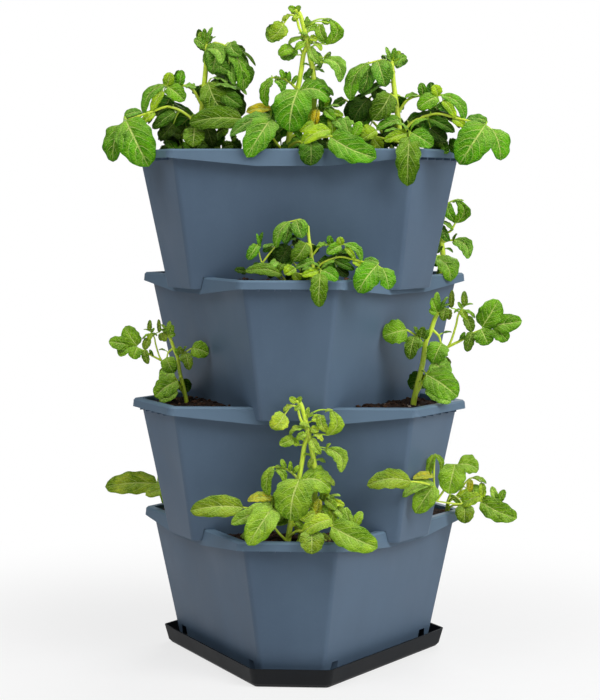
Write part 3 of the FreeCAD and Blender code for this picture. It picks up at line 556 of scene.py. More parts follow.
# The plants' parts. A stem is a list of points, and one that starts below the soil is a thick one. A leaf
# is its base, its tip, its breadth, the way it looks, its tone and how far it bows. One unit is a millimetre
# on a plant of size 1.
TALL_STEMS = [
    [(0, 0, -12), (1, 0, 8), (6, -1, 36), (11, -3, 64), (15, -5, 86), (17, -6, 100), (21, -7, 110)],
    [(4, 3, -12), (22, 4, 24), (28, 2, 56), (27, -3, 80), (24, -5, 97), (21, -7, 112), (17, -8, 129),
     (13, -9, 141), (9, -10, 144)],
    [(20, -8, 113), (13, -10, 126), (10, -10, 136), (4, -11, 139), (-3, -12, 130)],
    [(11, -3, 66), (4, -4, 73), (-4, -5, 77), (-14, -6, 78)],
]
TALL_TOP_LEAVES = [
    ((-3, -12, 131), (-16, -16, 116), 19, FRONT, "lime", -0.12),
    ((5, -10, 140), (-4, -13, 133), 8, SKY, "lime"),
    ((9, -10, 143), (2, -12, 147), 7, FRONT, "bright"),
    ((10, -10, 143), (14, -12, 148), 6, FRONT, "bright"),
    ((13, -9, 139), (7, -14, 134), 6, FRONT, "lime"),
    ((19, -8, 126), (27, -10, 133), 6, SKY, "pale"),
    ((19, -8, 127), (21, -9, 138), 5, FRONT, "pale"),
    ((31, -9, 124), (24, -12, 125), 9, FRONT, "bright", 0.3),
    ((33, -9, 130), (40, -10, 113), 11, FRONT, "mid", 0.12),
    ((41, -10, 110), (44, -9, 135), 15, FRONT, "bright", 0.3),
    ((45, -9, 135), (37, -10, 133), 5, SKY, "pale"),
    ((17, -10, 117), (2, -14, 110), 11, SKY, "bright", 0.15),
    ((22, -11, 118), (12, -13, 121), 9, SKY, "mid"),
    ((18, -12, 112), (9, -15, 105), 8, FRONT, "bright"),
    ((7, -9, 107), (-8, -13, 100), 12, FRONT, "bright"),
    ((11, -8, 100), (2, -10, 107), 7, FRONT, "mid"),
    ((24, -9, 107), (33, -12, 91), 10, FRONT, "pale", 0.1),
    ((27, -9, 112), (35, -12, 104), 8, SKY, "lime"),
    ((23, -9, 117), (31, -12, 114), 8, FRONT, "lime"),
    ((39, -10, 97), (54, -13, 73), 16, FRONT, "pale", -0.22),
    ((38, -10, 95), (43, -12, 102), 6, SKY, "lime"),
    ((24, -6, 89), (16, -8, 91), 5, SKY, "mid"),
    ((25, -6, 87), (21, -8, 77), 6, FRONT, "dark"),
    ((29, -4, 86), (38, -6, 83), 6, SKY, "mid"),
    ((28, -4, 90), (34, -7, 92), 5, SKY, "bright"),
    ((-2, -7, 77), (-6, -8, 86), 6, FRONT, "bright"),
    ((3, -7, 74), (3, -9, 84), 5, FRONT, "bright"),
    ((6, -6, 72), (11, -8, 80), 5, FRONT, "bright"),
    ((-6, -6, 77), (-12, -8, 79), 5, SKY, "bright"),
    ((-15, -8, 77), (-19, -10, 49), 14, LEFT, "bright", 0.06),
    ((-14, -6, 78), (-21, -8, 68), 8, SKY, "mid"),
    ((-11, -6, 76), (-3, -9, 62), 8, FRONT, "mid", -0.2),
]
LOW_STEMS = [
    [(-1, -2, 4), (-9, -6, 12), (-15, -10, 22), (-16, -10, 36)],
    [(1, -2, 8), (10, -8, 14), (20, -20, 14), (38, -33, 19), (62, -36, 20), (68, -36, 19)],
    [(3, -1, 18), (14, 0, 26), (24, 2, 42), (33, 3, 49), (44, 2, 44)],
]
MIDDLE_LEAVES = [
    ((12, -12, 66), (3, -18, 24), 38, FRONT, "mid", 0.03),
    ((13, -6, 65), (43, -6, 56), 29, RAISED, "mid", -0.1),
    ((34, -2, 70), (47, -4, 60), 10, SKY, "dark"),
    ((-2, -4, 56), (-16, 0, 30), 16, LEFT, "teal"),
    ((8, 8, 36), (-12, 24, 20), 20, BACK, "mid"),
]
LOW_RIGHT_LEAVES = [
    ((31, -4, 47), (28, -8, 27), 9, FRONT, "yellow"),
    ((34, 2, 50), (51, -2, 42), 8, SKY, "bright"),
    ((45, 0, 43), (46, -6, 20), 10, FRONT, "lime"),
    ((27, -14, 33), (14, -18, 24), 9, FRONT, "lime"),
    ((16, -12, 17), (6, -14, 27), 7, FRONT, "mid"),
    ((43, -31, 26), (15, -32, 12), 19, RAISED, "lime"),
    ((24, -33, 14), (24, -42, -9), 25, FRONT, "dark"),
    ((43, -34, 19), (88, -44, -2), 29, FRONT, "mid", 0.05),
    ((62, -34, 20), (57, -32, 38), 10, FRONT, "pale"),
    ((66, -34, 19), (73, -32, 34), 10, FRONT, "bright"),
    ((30, 10, 38), (44, 24, 22), 20, BACK, "mid"),
]
LOW_LEFT_LEAVES = [
    ((-15, -6, 47), (-40, -10, 44), 12, RAISED, "yellow"),
    ((-15, -11, 40), (-56, -24, 20), 17, RAISED, "teal"),
    ((-15, -14, 37), (-39, -38, -1), 30, FRONT, "mid"),
    ((-44, -8, 37), (-97, -12, 33), 24, FRONT, "olive", 0.06),
]
LEFT_STEMS = [
    [(-16, -10, 30), (-30, -9, 35), (-44, -8, 37)],
]
SIDE_STEMS = [
    [(0, 0, -12), (-4, -1, 16), (-16, -6, 26)],
]
SIDE_LEAVES = [
    ((-44, -8, 26), (-97, -12, 22), 24, FRONT, "olive", 0.06),
    ((-18, -11, 27), (-56, -24, 14), 17, RAISED, "teal"),
    ((-9, -8, 25), (-34, -26, 12), 24, SKY, "mid"),
    ((-30, -22, 24), (-36, -28, 4), 16, FRONT, "lime"),
    ((-6, -3, 26), (6, -26, 16), 20, FRONT, "mid"),
    ((-2, 2, 22), (-12, 22, 18), 20, BACK, "mid"),
]
TRAILING_STEMS = [
    [(0, 0, -12), (2, -1, 8), (3, -1, 18), (6, -1, 27)],
    [(1, 0, 4), (5, -9, 19), (12, -30, 24), (25, 14, 28, 0.5), (20, 15, 34, 0.8), (0, 0, 41, 1.0)],
    [(0, 0, 41, 1.0), (-3, -2, 62, 1.0), (-3, -3, 84, 1.0), (-2, -3, 97, 1.0)],
    [(-2, -2, 58, 1.0), (-16, -38, 62, 1.0), (-30, -51, 63, 1.0)],
    [(0, 0, 41, 1.0), (12, 4, 60, 1.0), (22, 8, 84, 1.0)],
]
TRAILING_LEAVES = [
    ((22, 6, 86, 1.0), (14, -4, 50, 1.0), 34, FRONT, "mid"),
    ((25, 10, 86, 1.0), (50, 8, 80, 1.0), 26, RAISED, "mid", -0.1),
    ((-3, -6, 60, 1.0), (-25, -22, 26, 1.0), 28, FRONT, "mid"),
    ((-4, -8, 63, 1.0), (-40, -38, 45, 1.0), 17, RAISED, "teal"),
    ((-3, -4, 71, 1.0), (-28, -26, 67, 1.0), 12, RAISED, "yellow"),
    ((-30, -51, 63, 1.0), (-81, -56, 58, 1.0), 24, FRONT, "olive", 0.06),
    ((-3, -5, 97, 1.0), (-9, -8, 71, 1.0), 12, LEFT, "bright", 0.06),
    ((-1, -4, 97, 1.0), (5, -4, 79, 1.0), 7, FRONT, "mid", -0.2),
]
EDGE_STEMS = [
    [(0, 0, -12), (7, -2, 8), (10, -4, 22), (8, -5, 40), (7, -5, 51), (11, -6, 66), (14, -7, 76)],
    [(8, -5, 36), (15, -7, 39), (22, -8, 39)],
    [(8, -5, 46), (17, -8, 48), (22, -9, 56)],
]
EDGE_LEAVES = [
    ((22, -9, 56), (24, -8, 80), 15, FRONT, "bright", 0.3),
    ((30, -8, 79), (19, -9, 77), 6, SKY, "pale"),
    ((14, -8, 76), (22, -10, 58), 11, FRONT, "mid", 0.12),
    ((8, -6, 54), (16, -8, 38), 9, FRONT, "teal", 0.1),
    ((10, -8, 58), (20, -10, 49), 8, SKY, "bright"),
    ((21, -8, 40), (36, -11, 21), 15, FRONT, "pale", -0.22),
    ((20, -8, 38), (24, -10, 46), 6, SKY, "lime"),
    ((12, -5, 31), (20, -7, 27), 5, SKY, "mid"),
    ((9, -5, 36), (4, -8, 26), 6, FRONT, "dark"),
    ((6, -6, 22), (-10, -8, 14), 14, FRONT, "mid"),
    ((2, -12, 22), (18, -28, -2), 27, RIGHT, "bright", -0.1),
    ((4, 4, 20), (-8, 24, 16), 18, BACK, "mid"),
]
BUSHY_STEMS = [
    [(0, 0, -12), (-5, 0, 26), (-8, 0, 50), (-11, 0, 72), (-13, 0, 94)],
    [(-12, 0, 86), (-20, 0, 95), (-27, 0, 95), (-38, -2, 92)],
    [(-6, 0, 40), (-8, -2, 56), (-14, -5, 62)],
    [(-6, 0, 44), (3, -2, 56), (14, -3, 60), (26, -4, 59), (38, -6, 61)],
    [(-2, 0, 22), (8, -3, 34), (30, -8, 42), (50, -12, 38), (70, -17, 33), (80, -18, 30), (86, -18, 26)],
    [(-6, 0, 34), (-20, 0, 46), (-32, 0, 60)],
]
HANGING_STEMS = [
    [(0, 0, 4), (3, -24, 16), (5, -40, 22)],
    [(2, -16, 12), (-14, -16, 16), (-30, -14, 20)],
]
SHOOT_LEAVES = [
    ((36, 0, 48), (43, -4, 59), 7, FRONT, "lime"),
    ((40, 0, 46), (53, -4, 50), 7, SKY, "pale"),
    ((38, -2, 46), (49, -8, 36), 9, FRONT, "bright"),
    ((44, 0, 44), (57, -6, 40), 8, FRONT, "lime"),
    ((47, -2, 40), (59, -8, 26), 12, FRONT, "pale"),
    ((36, 2, 44), (34, -2, 60), 6, FRONT, "mid"),
]
HUDDLED_LEAVES = [
    ((-60, 6, 57), (-72, 2, 50), 10, FRONT, "dark"),
    ((-36, 2, 57), (-60, 0, 40), 20, FRONT, "deep"),
    ((-34, 0, 46), (-52, -2, 32), 18, FRONT, "dark"),
    ((-46, 4, 42), (-40, 0, 26), 15, FRONT, "deep"),
    ((-52, -4, 38), (-64, -8, 25), 12, FRONT, "pale"),
    ((-44, -6, 34), (-50, -9, 22), 11, FRONT, "olive"),
    ((-34, -8, 31), (-42, -12, 16), 12, FRONT, "lime"),
]
HUDDLED_STEMS = [
    [(-8, 6, 2), (-24, 4, 26), (-42, 4, 44), (-60, 6, 57)],
]
SPREAD_STEMS = [
    [(-40, -4, 4), (-60, -2, 20), (-73, -2, 33), (-79, -3, 60)],
    [(-73, -2, 33), (-64, -2, 46), (-55, -3, 58)],
    [(-40, -4, 4), (-44, -6, 12), (-50, -8, 18)],
]
SPREAD_LEAVES = [
    ((-79, -3, 60), (-92, -8, 38), 17, FRONT, "mid"),
    ((-77, -3, 60), (-72, -6, 78), 6, FRONT, "dark"),
    ((-75, -3, 56), (-80, -6, 76), 5, FRONT, "mid"),
    ((-55, -3, 59), (-72, -8, 56), 10, SKY, "teal"),
    ((-46, -8, 17), (-95, -14, 22), 20, RAISED, "olive", 0.06),
    ((-94, 0, 20), (-110, -4, 24), 12, RAISED, "deep"),
    ((-70, 4, 18), (-84, 0, 34), 14, FRONT, "dark"),
    ((-58, 6, 30), (-62, 2, 50), 13, FRONT, "deep"),
    ((-66, 4, 14), (-50, 0, 30), 14, FRONT, "deep"),
]
HANGING_LEAVES = [
    ((5, -42, 19), (3, -50, -29), 25, FRONT, "olive"),
    ((7, -40, 23), (28, -46, 10), 19, FRONT, "mid"),
    ((6, -38, 25), (23, -40, 36), 10, SKY, "bright"),
    ((4, -38, 26), (-11, -42, 33), 10, SKY, "bright"),
    ((3, -36, 23), (-20, -42, 15), 12, FRONT, "lime"),
    ((-2, -24, 24), (-20, -28, 24), 9, SKY, "mid"),
    ((-28, -16, 26), (-42, -22, 17), 13, FRONT, "lime"),
    ((-31, -14, 18), (-22, -17, 7), 13, FRONT, "lime"),
]
BUSHY_LEAVES = [
    ((-11, 0, 93), (2, -3, 99), 10, FRONT, "pale"),
    ((-13, 0, 95), (-19, 0, 109), 5, FRONT, "pale"),
    ((-13, 0, 94), (-23, -2, 101), 5, SKY, "pale"),
    ((-11, 0, 95), (-10, 0, 108), 6, FRONT, "mid"),
    ((-11, 0, 93), (-5, 2, 105), 9, FRONT, "lime"),
    ((-38, -4, 93), (-54, -16, 55), 20, LEFT, "mid", 0.08),
    ((-38, -2, 92), (-44, -6, 62), 16, FRONT, "teal", -0.1),
    ((-27, -2, 95), (-19, -8, 69), 20, FRONT, "teal"),
    ((-20, -2, 96), (-13, -6, 76), 9, RIGHT, "mid"),
    ((-23, 0, 72), (-44, -4, 58), 17, SKY, "dark"),
    ((-30, 2, 68), (-22, -2, 52), 13, FRONT, "deep"),
    ((-14, -7, 62), (-32, -13, 36), 26, FRONT, "olive", -0.06),
    ((-36, 0, 58), (-52, -6, 34), 23, FRONT, "deep"),
    ((-34, 0, 44), (-46, -6, 26), 14, FRONT, "dark"),
    ((-4, -8, 37), (-28, -14, 26), 14, RAISED, "mid"),
    ((14, -3, 60), (0, -5, 58), 13, SKY, "bright"),
    ((19, -4, 60), (16, -6, 73), 10, FRONT, "mid"),
    ((32, -6, 59), (13, -12, 47), 17, FRONT, "bright"),
    ((33, -6, 60), (29, -6, 71), 12, FRONT, "lime"),
    ((37, -7, 61), (60, -13, 36), 14, RIGHT, "mid", -0.16),
    ((38, -8, 56), (51, -13, 38), 9, FRONT, "lime"),
    ((48, -10, 38), (61, -14, 29), 10, FRONT, "lime"),
    ((8, 0, 35), (36, 2, 44), 10, SKY, "deep"),
    ((26, -4, 44), (55, -8, 28), 12, SKY, "deep", -0.1),
    ((24, -4, 38), (50, -10, 24), 12, FRONT, "dark"),
    ((26, -2, 28), (42, -6, 15), 16, FRONT, "deep"),
    ((82, -14, 34), (62, -10, 38), 10, RAISED, "teal"),
    ((80, -20, 31), (54, -32, -8), 37, FRONT, "mid"),
    ((87, -18, 27), (95, -26, -4), 28, RIGHT, "mid"),
    ((-10, 0, 30), (-20, -10, 8), 16, FRONT, "deep"),
    ((-4, 6, 60), (-16, 34, 44), 22, BACK, "mid"),
    ((2, 6, 36), (24, 36, 22), 26, BACK, "mid"),
    ((30, 4, 50), (44, 28, 36), 20, BACK, "mid"),
]
CLUSTER_LEAVES = [
    ((-16, -4, 92), (-30, -14, 78), 14, FRONT, "pale", 0.2),
    ((-40, -6, 96), (-52, -14, 84), 14, FRONT, "teal", -0.2),
    ((-46, -6, 90), (-68, -10, 76), 5, SKY, "dark"),
    ((-24, -8, 78), (-40, -16, 70), 14, FRONT, "dark"),
    ((-38, -12, 76), (-44, -16, 60), 8, FRONT, "pale"),
    ((-50, -8, 76), (-60, -12, 60), 14, FRONT, "dark", 0.2),
    ((-18, -10, 66), (-36, -16, 62), 11, SKY, "pale", 0.2),
    ((-22, -12, 60), (-46, -18, 56), 10, SKY, "teal", -0.15),
    ((-34, -12, 60), (-58, -12, 52), 11, SKY, "pale", 0.15),
    ((-30, -14, 54), (-52, -18, 42), 17, FRONT, "dark"),
    ((2, -28, 24), (4, -36, 8), 22, FRONT, "olive"),
]
BRANCHED_STEMS = [
    [(0, 0, -12), (-1, 0, 4), (3, 0, 24), (8, -2, 45), (11, -3, 66), (16, -4, 78), (20, -5, 90),
     (24, -6, 98)],
    [(2, 2, 14), (12, 2, 34), (26, 0, 54), (35, -2, 65), (41, -4, 83), (43, -5, 93), (47, -5, 101)],
    [(10, -3, 62), (5, -5, 69), (0, -8, 74), (-8, -10, 79)],
    [(17, -4, 80), (24, -5, 73), (26, -6, 66)],
]
BRANCHED_LEAVES = [
    ((-8, -10, 79), (-32, -14, 72), 25, FRONT, "bright"),
    ((0, -9, 73), (-5, -14, 49), 15, FRONT, "dark"),
    ((3, -8, 73), (-1, -10, 82), 8, SKY, "dark"),
    ((6, -8, 71), (9, -10, 82), 8, FRONT, "dark"),
    ((9, -7, 70), (14, -9, 79), 7, FRONT, "mid"),
    ((6, -8, 68), (2, -12, 60), 8, FRONT, "mid"),
    ((23, -7, 96), (17, -9, 111), 10, FRONT, "mid"),
    ((23, -6, 98), (22, -8, 117), 8, FRONT, "pale"),
    ((24, -6, 97), (33, -9, 112), 9, SKY, "pale"),
    ((25, -6, 97), (35, -10, 105), 8, SKY, "bright"),
    ((22, -8, 97), (14, -11, 98), 9, FRONT, "mid"),
    ((31, -7, 101), (28, -10, 88), 11, FRONT, "dark"),
    ((34, -7, 100), (34, -9, 89), 7, FRONT, "deep"),
    ((36, -7, 101), (37, -8, 119), 6, FRONT, "deep"),
    ((50, -6, 103), (49, -8, 118), 7, FRONT, "dark"),
    ((47, -6, 101), (43, -8, 107), 4, FRONT, "mid"),
    ((48, -6, 102), (58, -8, 105), 4, SKY, "mid"),
    ((46, -6, 100), (39, -8, 96), 4, SKY, "mid"),
    ((49, -6, 99), (60, -9, 91), 6, SKY, "mid"),
    ((47, -6, 99), (52, -9, 89), 8, FRONT, "lime"),
    ((51, -6, 93), (57, -10, 77), 12, FRONT, "dark"),
    ((28, -3, 76), (37, -5, 77), 5, SKY, "dark"),
    ((27, -8, 66), (18, -14, 46), 22, FRONT, "mid"),
    ((19, -10, 48), (34, -15, 31), 22, FRONT, "pale"),
    ((30, -8, 51), (36, -11, 45), 6, FRONT, "deep"),
    ((12, -14, 34), (43, -24, 12), 30, FRONT, "mid"),
    ((12, -20, 22), (36, -28, 6), 16, FRONT, "pale"),
    ((16, 2, 60), (26, 26, 44), 20, BACK, "mid"),
    ((10, 4, 34), (-4, 26, 20), 22, BACK, "mid"),
]
FORK_STEMS = [
    [(33, -2, 62), (47, -6, 69), (57, -9, 75), (66, -10, 79), (77, -12, 83)],
]
FORK_LEAVES = [
    ((57, -10, 77), (52, -14, 57), 11, FRONT, "dark"),
    ((44, -6, 69), (49, -8, 72), 5, SKY, "mid"),
    ((46, -6, 70), (50, -8, 77), 5, FRONT, "mid"),
    ((67, -11, 82), (83, -12, 109), 25, FRONT, "mid"),
    ((66, -12, 80), (73, -16, 64), 21, FRONT, "mid"),
    ((77, -13, 84), (106, -17, 88), 20, FRONT, "mid", 0.08),
    ((79, -13, 82), (92, -18, 68), 17, FRONT, "mid"),
]

tall_stems = TALL_STEMS + LOW_STEMS + LEFT_STEMS
tall_leaves = TALL_TOP_LEAVES + MIDDLE_LEAVES + LOW_RIGHT_LEAVES + LOW_LEFT_LEAVES + SHOOT_LEAVES
hanging_stems = BUSHY_STEMS + HANGING_STEMS + HUDDLED_STEMS
hanging_leaves = BUSHY_LEAVES + HANGING_LEAVES + HUDDLED_LEAVES
# The hanging plant without the leaves at the top of its stem
CROWN_LEAVES = 5
low_stems = [BUSHY_STEMS[0][:-1] + [(-12, 0, 86)]] + hanging_stems[1:]
low_leaves = hanging_leaves[CROWN_LEAVES:]
# Top of the soil in each level's pot, in millimetres
SOIL_HEIGHT = {1: 167.0, 2: 317.0, 3: 467.0, 4: 617.0}

# Each plant: level, root x, root y, stems, leaves, (size across, size upwards), hand, number of small
# mostly dark leaves at its foot that paint the shade there, and how far its leaves' colour is that of young
# ones
PLANTS = {
    "plant_1_front": (1, -5, -168, tall_stems, tall_leaves, (1.16, 1.16), 1, 5, 0.38),
    "plant_1_right": (1, 181, 46, LOW_STEMS[1:] + TRAILING_STEMS, LOW_RIGHT_LEAVES + TRAILING_LEAVES,
                      (1.0, 1.0), 1, 0, 0.3),
    "plant_1_left": (1, -134, 77, SIDE_STEMS + LEFT_STEMS, SIDE_LEAVES, (1.28, 1.28), 1, 0, 0.7),
    "plant_2_right": (2, 141, -75, BRANCHED_STEMS + FORK_STEMS, BRANCHED_LEAVES + FORK_LEAVES,
                      (1.19, 1.19), 1, 0, 0.1),
    "plant_2_left": (2, -136, -62, BRANCHED_STEMS + FORK_STEMS, BRANCHED_LEAVES + FORK_LEAVES,
                     (0.88, 0.88), -1, 0, 0.24),
    "plant_3_front": (3, 29, -170, low_stems + SPREAD_STEMS, low_leaves + SPREAD_LEAVES,
                      (0.86, 0.8), 1, 12, 0.0),
    "plant_3_right": (3, 163, 40, EDGE_STEMS, EDGE_LEAVES, (1.24, 1.24), 1, 0, 0.04),
    "plant_4_middle": (4, -10, -112, tall_stems, tall_leaves, (1.17, 1.17), 1, 26, 0.0),
    "plant_4_right": (4, 128, -100, hanging_stems, hanging_leaves, (1.17, 1.17), 1, 38, 0.0),
    "plant_4_left": (4, -119, -88, BUSHY_STEMS, BUSHY_LEAVES + CLUSTER_LEAVES, (1.04, 1.4), -1, 44, 0.02),
}
# Second foot of a plant whose shoot trails round the tower
PROPS = {"plant_1_right": (168, -94)}
TOP_LEVEL = 4
PLANT_SEED = 40
for index, (name, (level, x, y, stems, leaves, size, hand, undergrowth, youth)) in enumerate(PLANTS.items()):
    root = Vector((x, y, SOIL_HEIGHT[level]))
    prop = Vector((*PROPS.get(name, (x, y)), SOIL_HEIGHT[level]))
    make_plant(name, "level_%d" % level, root, prop, stems, leaves, size, hand, undergrowth, youth,
               level == TOP_LEVEL, PLANT_SEED + index)

# Soil, in metres
SOIL_SEED = 500
SOIL_RISE = 0.0022
LUMP_SCALE, LUMP_HEIGHT = 45.0, 0.0028
CRUMB_SCALE, CRUMB_HEIGHT = 170.0, 0.0022
MOUND_HEIGHT, MOUND_FROM, MOUND_OVER = 0.0026, 0.004, 0.03
PRESSED_DEPTH = 0.0095
BORDER_STEP = 0.004
SOIL_PITCH, SOIL_JITTER = 0.0032, 0.0008
LOWER_RISE = 0.018
WALL_DRAFT, POT_HEIGHT = 30.0, 164.0
CLODS, CLODS_ON_TOP = 300, 420
CLOD_SIZE = (0.0011, 0.0032)
WHITE_GRAINS = 0.05


def outline_of(node, low, high):
    """Convex outline in the ground plane of a node's points between two heights, anticlockwise."""
    points = [Vector((v.co.x, v.co.y)) for v in nodes[node].data.vertices if low <= v.co.z <= high]
    return [points[index] for index in geometry.convex_hull_2d(points)]


def inside_by(outline, point):
    """Distance of a point inside a convex outline; negative outside."""
    best = None
    for index, corner in enumerate(outline):
        edge = outline[(index + 1) % len(outline)] - corner
        if edge.length > 1e-6:
            normal = Vector((-edge.y, edge.x)).normalized()
            distance = (point - corner).dot(normal)
            if best is None or distance < best:
                best = distance
    return best


def anticlockwise(outline):
    """The outline, turned round where it runs clockwise."""
    area = sum(a.x * b.y - b.x * a.y for a, b in zip(outline, outline[1:] + outline[:1]))
    return outline if area > 0 else outline[::-1]


def make_soil(level):
    """Crumbly soil of one pot with clods, bark bits and a few white grains on top."""
    rng = random.Random(SOIL_SEED + level)
    node = "soil_%d" % level
    low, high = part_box(node)
    top = high.z
    rim = anticlockwise(outline_of(node, top - 0.0005, top + 0.0005))
    under = None
    if level < TOP_LEVEL:
        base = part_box("pot_%d" % (level + 1))[0].z
        under = anticlockwise(outline_of("pot_%d" % (level + 1), base - 0.0005, base + 0.0005))
    piece = Piece(node + "_crumbs")

    def surface(point):
        """Height of the soil at a point."""
        spot = Vector((point.x, point.y, level * 0.37))
        rough = noise.fractal(spot * LUMP_SCALE, 0.9, 2.1, 4) * LUMP_HEIGHT
        crumbs = (0.5 - noise.voronoi(spot * CRUMB_SCALE)[0][0]) * CRUMB_HEIGHT
        height = top + SOIL_RISE + rough + crumbs
        height += MOUND_HEIGHT * min(max(inside_by(rim, point) - MOUND_FROM, 0.0), MOUND_OVER) / MOUND_OVER
        if under:
            gap = inside_by(under, point)
            share = min(max((gap + 0.0045) / 0.004, 0.0), 1.0)
            height += (top - PRESSED_DEPTH - height) * share
        return height

    def spaced(outline, spacing):
        """Points along an outline at about the given spacing."""
        around = []
        for start, end in zip(outline, outline[1:] + outline[:1]):
            steps = max(1, int((end - start).length / spacing))
            around += [start + (end - start) * (step / steps) for step in range(steps)]
        return around

    border = spaced(rim, BORDER_STEP)
    points = list(border)
    x = low.x
    while x < high.x:
        y = low.y
        while y < high.y:
            point = Vector((x + rng.uniform(-1, 1) * SOIL_JITTER, y + rng.uniform(-1, 1) * SOIL_JITTER))
            deep = under is not None and inside_by(under, point) > 0.006
            across, along = round((x - low.x) / SOIL_PITCH), round((y - low.y) / SOIL_PITCH)
            sparse = deep and (across % 5 or along % 5)
            if inside_by(rim, point) > 0.002 and not sparse:
                points.append(point)
            y += SOIL_PITCH
        x += SOIL_PITCH
    edges = [(index, (index + 1) % len(border)) for index in range(len(border))]
    flat, _, faces, _, _, _ = geometry.delaunay_2d_cdt(points, edges, [], 1, 1e-6)
    mesh = piece.mesh
    dark = linear(52, 37, 28)
    verts = []
    for point in flat:
        vert = mesh.verts.new((point.x, point.y, surface(point)))
        vert[piece.tone] = dark
        verts.append(vert)
    for face in faces:
        made = mesh.faces.new([verts[index] for index in face])
        made.smooth = True
    bottom_z = low.z + LOWER_RISE
    draft = (top - bottom_z) * WALL_DRAFT / POT_HEIGHT
    sides = []
    for step in range(12):
        angle = math.radians(30.0 * step)
        normal = Vector((math.cos(angle), math.sin(angle)))
        inset = draft if step % 2 else draft / math.cos(math.radians(30.0))
        sides.append((normal, max(point.dot(normal) for point in rim) - inset))
    ring = verts[:len(border)]
    lower = []
    for vert in ring:
        out = Vector((vert.co.x, vert.co.y)).normalized()
        reach = min(limit / out.dot(normal) for normal, limit in sides if out.dot(normal) > 0.1)
        made = mesh.verts.new((out.x * reach, out.y * reach, bottom_z))
        made[piece.tone] = dark
        lower.append(made)
    for index in range(len(ring)):
        after = (index + 1) % len(ring)
        mesh.faces.new([ring[after], ring[index], lower[index], lower[after]])
    mesh.faces.new(lower)

    tones = [linear(60, 42, 32), linear(78, 54, 40), linear(40, 29, 24), linear(98, 72, 52)]
    wanted = CLODS_ON_TOP if level == TOP_LEVEL else CLODS
    placed = 0
    while placed < wanted:
        point = Vector((rng.uniform(low.x, high.x), rng.uniform(low.y, high.y)))
        if inside_by(rim, point) < 0.006 or (under and inside_by(under, point) > -0.004):
            continue
        placed += 1
        size = rng.uniform(*CLOD_SIZE)
        grain = rng.random() < WHITE_GRAINS
        tone = linear(206, 198, 186) if grain else rng.choice(tones)
        stretch = Vector((rng.uniform(0.7, 1.7), rng.uniform(0.7, 1.3), rng.uniform(0.5, 0.9)))
        angle = rng.uniform(0.0, 3.14)
        height = surface(point) + size * 0.25
        ball = bmesh.ops.create_icosphere(mesh, subdivisions=1, radius=size * (0.6 if grain else 1.0))
        for vert in ball["verts"]:
            co = vert.co * (1.0 + rng.uniform(-0.22, 0.22))
            co = Vector((co.x * stretch.x, co.y * stretch.y, co.z * stretch.z))
            turned_x = co.x * math.cos(angle) - co.y * math.sin(angle)
            turned_y = co.x * math.sin(angle) + co.y * math.cos(angle)
            vert.co = Vector((point.x + turned_x, point.y + turned_y, height + co.z))
            vert[piece.tone] = tone
    bmesh.ops.recalc_face_normals(mesh, faces=mesh.faces[:])
    piece.done(SOIL, "level_%d" % level, node)


for level in SOIL_HEIGHT:
    make_soil(level)


def make_floor():
    """Large white floor that keeps the object's soft shadow and fades into the white background."""
    bpy.ops.mesh.primitive_plane_add(size=14.0, location=(0.0, 2.0, -0.0005))
    floor = bpy.context.object
    floor.name = "floor"
    n = Nodes("floor_white")
    place = n.add("TexCoord").outputs["Object"]
    away = n.add("VectorMath", {0: place, 1: (0.0, -2.0, 0.0)}, operation="DISTANCE").outputs["Value"]
    rays = n.add("LightPath").outputs
    reflected = n.math("MAXIMUM", rays["Is Glossy Ray"], rays["Is Transmission Ray"])
    seen = n.math("MAXIMUM", rays["Is Camera Ray"], reflected)
    fade = n.ramp_between(away, 0.25, 0.9, 0.72, 1.0)
    glow = n.add("Emission", {"Color": (1.0, 1.0, 1.0, 1.0), "Strength": 1.0}).outputs[0]
    grain = n.noise(place, 30.0, 3.0)
    n.set(Base_Color=n.mix(grain, (0.78, 0.78, 0.78, 1.0), (0.82, 0.82, 0.82, 1.0)), Roughness=0.8)
    share = n.math("MULTIPLY", seen, fade)
    mixed = n.add("MixShader", {0: share, 1: n.shader.outputs[0], 2: glow}).outputs[0]
    n.tree.links.new(mixed, n.output.inputs["Surface"])
    floor.data.materials.append(n.material)


AMBIENT = 0.12


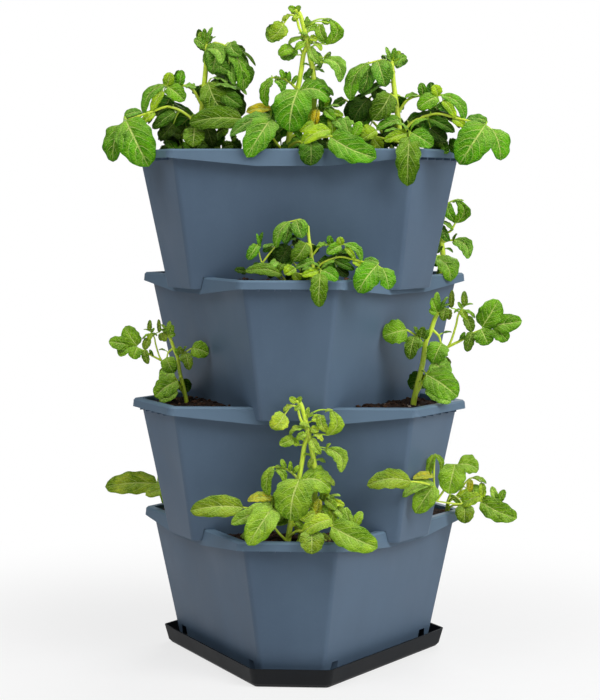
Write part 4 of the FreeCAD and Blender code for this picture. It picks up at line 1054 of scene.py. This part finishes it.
def make_world():
    """Plain soft light from all round; white where it is seen."""
    world = bpy.data.worlds.new("studio")
    world.use_nodes = True
    tree = world.node_tree
    background = tree.nodes["Background"]
    rays = tree.nodes.new("ShaderNodeLightPath")
    seen = tree.nodes.new("ShaderNodeMath")
    seen.operation = "MAXIMUM"
    tree.links.new(rays.outputs["Is Camera Ray"], seen.inputs[0])
    tree.links.new(rays.outputs["Is Transmission Ray"], seen.inputs[1])
    strength = tree.nodes.new("ShaderNodeMapRange")
    strength.inputs["To Min"].default_value = AMBIENT
    strength.inputs["To Max"].default_value = 1.0
    tree.links.new(seen.outputs[0], strength.inputs["Value"])
    background.inputs["Color"].default_value = (1.0, 1.0, 1.0, 1.0)
    tree.links.new(strength.outputs["Result"], background.inputs["Strength"])
    bpy.context.scene.world = world


def add_lamp(name, place, target, size, power):
    """Round soft lamp that shines from a place towards a target."""
    lamp = bpy.data.lights.new(name, "AREA")
    lamp.shape = "DISK"
    lamp.size = size
    lamp.energy = power
    holder = bpy.data.objects.new(name, lamp)
    holder.location = place
    holder.rotation_euler = (Vector(target) - Vector(place)).to_track_quat("-Z", "Y").to_euler()
    bpy.context.scene.collection.objects.link(holder)


# Camera: place in metres, heading seen from above, how far it looks down in radians, and lens in millimetres
CAMERA_PLACE = (0.1481, -2.3462, 0.5662)
CAMERA_HEADING = (-0.06346, 0.99798, 0.0)
CAMERA_PITCH = 0.0788
CAMERA_LENS = 97.84
SENSOR_WIDTH = 36.0


def make_camera():
    """Camera fitted to the photograph."""
    data = bpy.data.cameras.new("camera")
    data.sensor_width = SENSOR_WIDTH
    data.lens = CAMERA_LENS
    data.clip_end = 30.0
    camera = bpy.data.objects.new("camera", data)
    camera.location = CAMERA_PLACE
    heading = Vector(CAMERA_HEADING).normalized() * math.cos(CAMERA_PITCH)
    heading.z = -math.sin(CAMERA_PITCH)
    camera.rotation_euler = heading.to_track_quat("-Z", "Y").to_euler()
    bpy.context.scene.collection.objects.link(camera)
    bpy.context.scene.camera = camera


make_floor()
make_world()
TOWER_MIDDLE = (0.0, 0.0, 0.35)
add_lamp("key", (2.0, -2.2, 3.0), TOWER_MIDDLE, 2.4, 75.0)
add_lamp("side", (2.4, -1.4, 1.6), TOWER_MIDDLE, 1.8, 34.0)
add_lamp("fill", (-1.6, -1.7, 2.6), TOWER_MIDDLE, 2.4, 41.0)
add_lamp("back", (0.6, 2.4, 2.0), (0.0, 0.0, 0.5), 1.6, 30.0)
make_camera()
bpy.context.scene.view_settings.view_transform = "Standard"

bpy.context.view_layer.update()
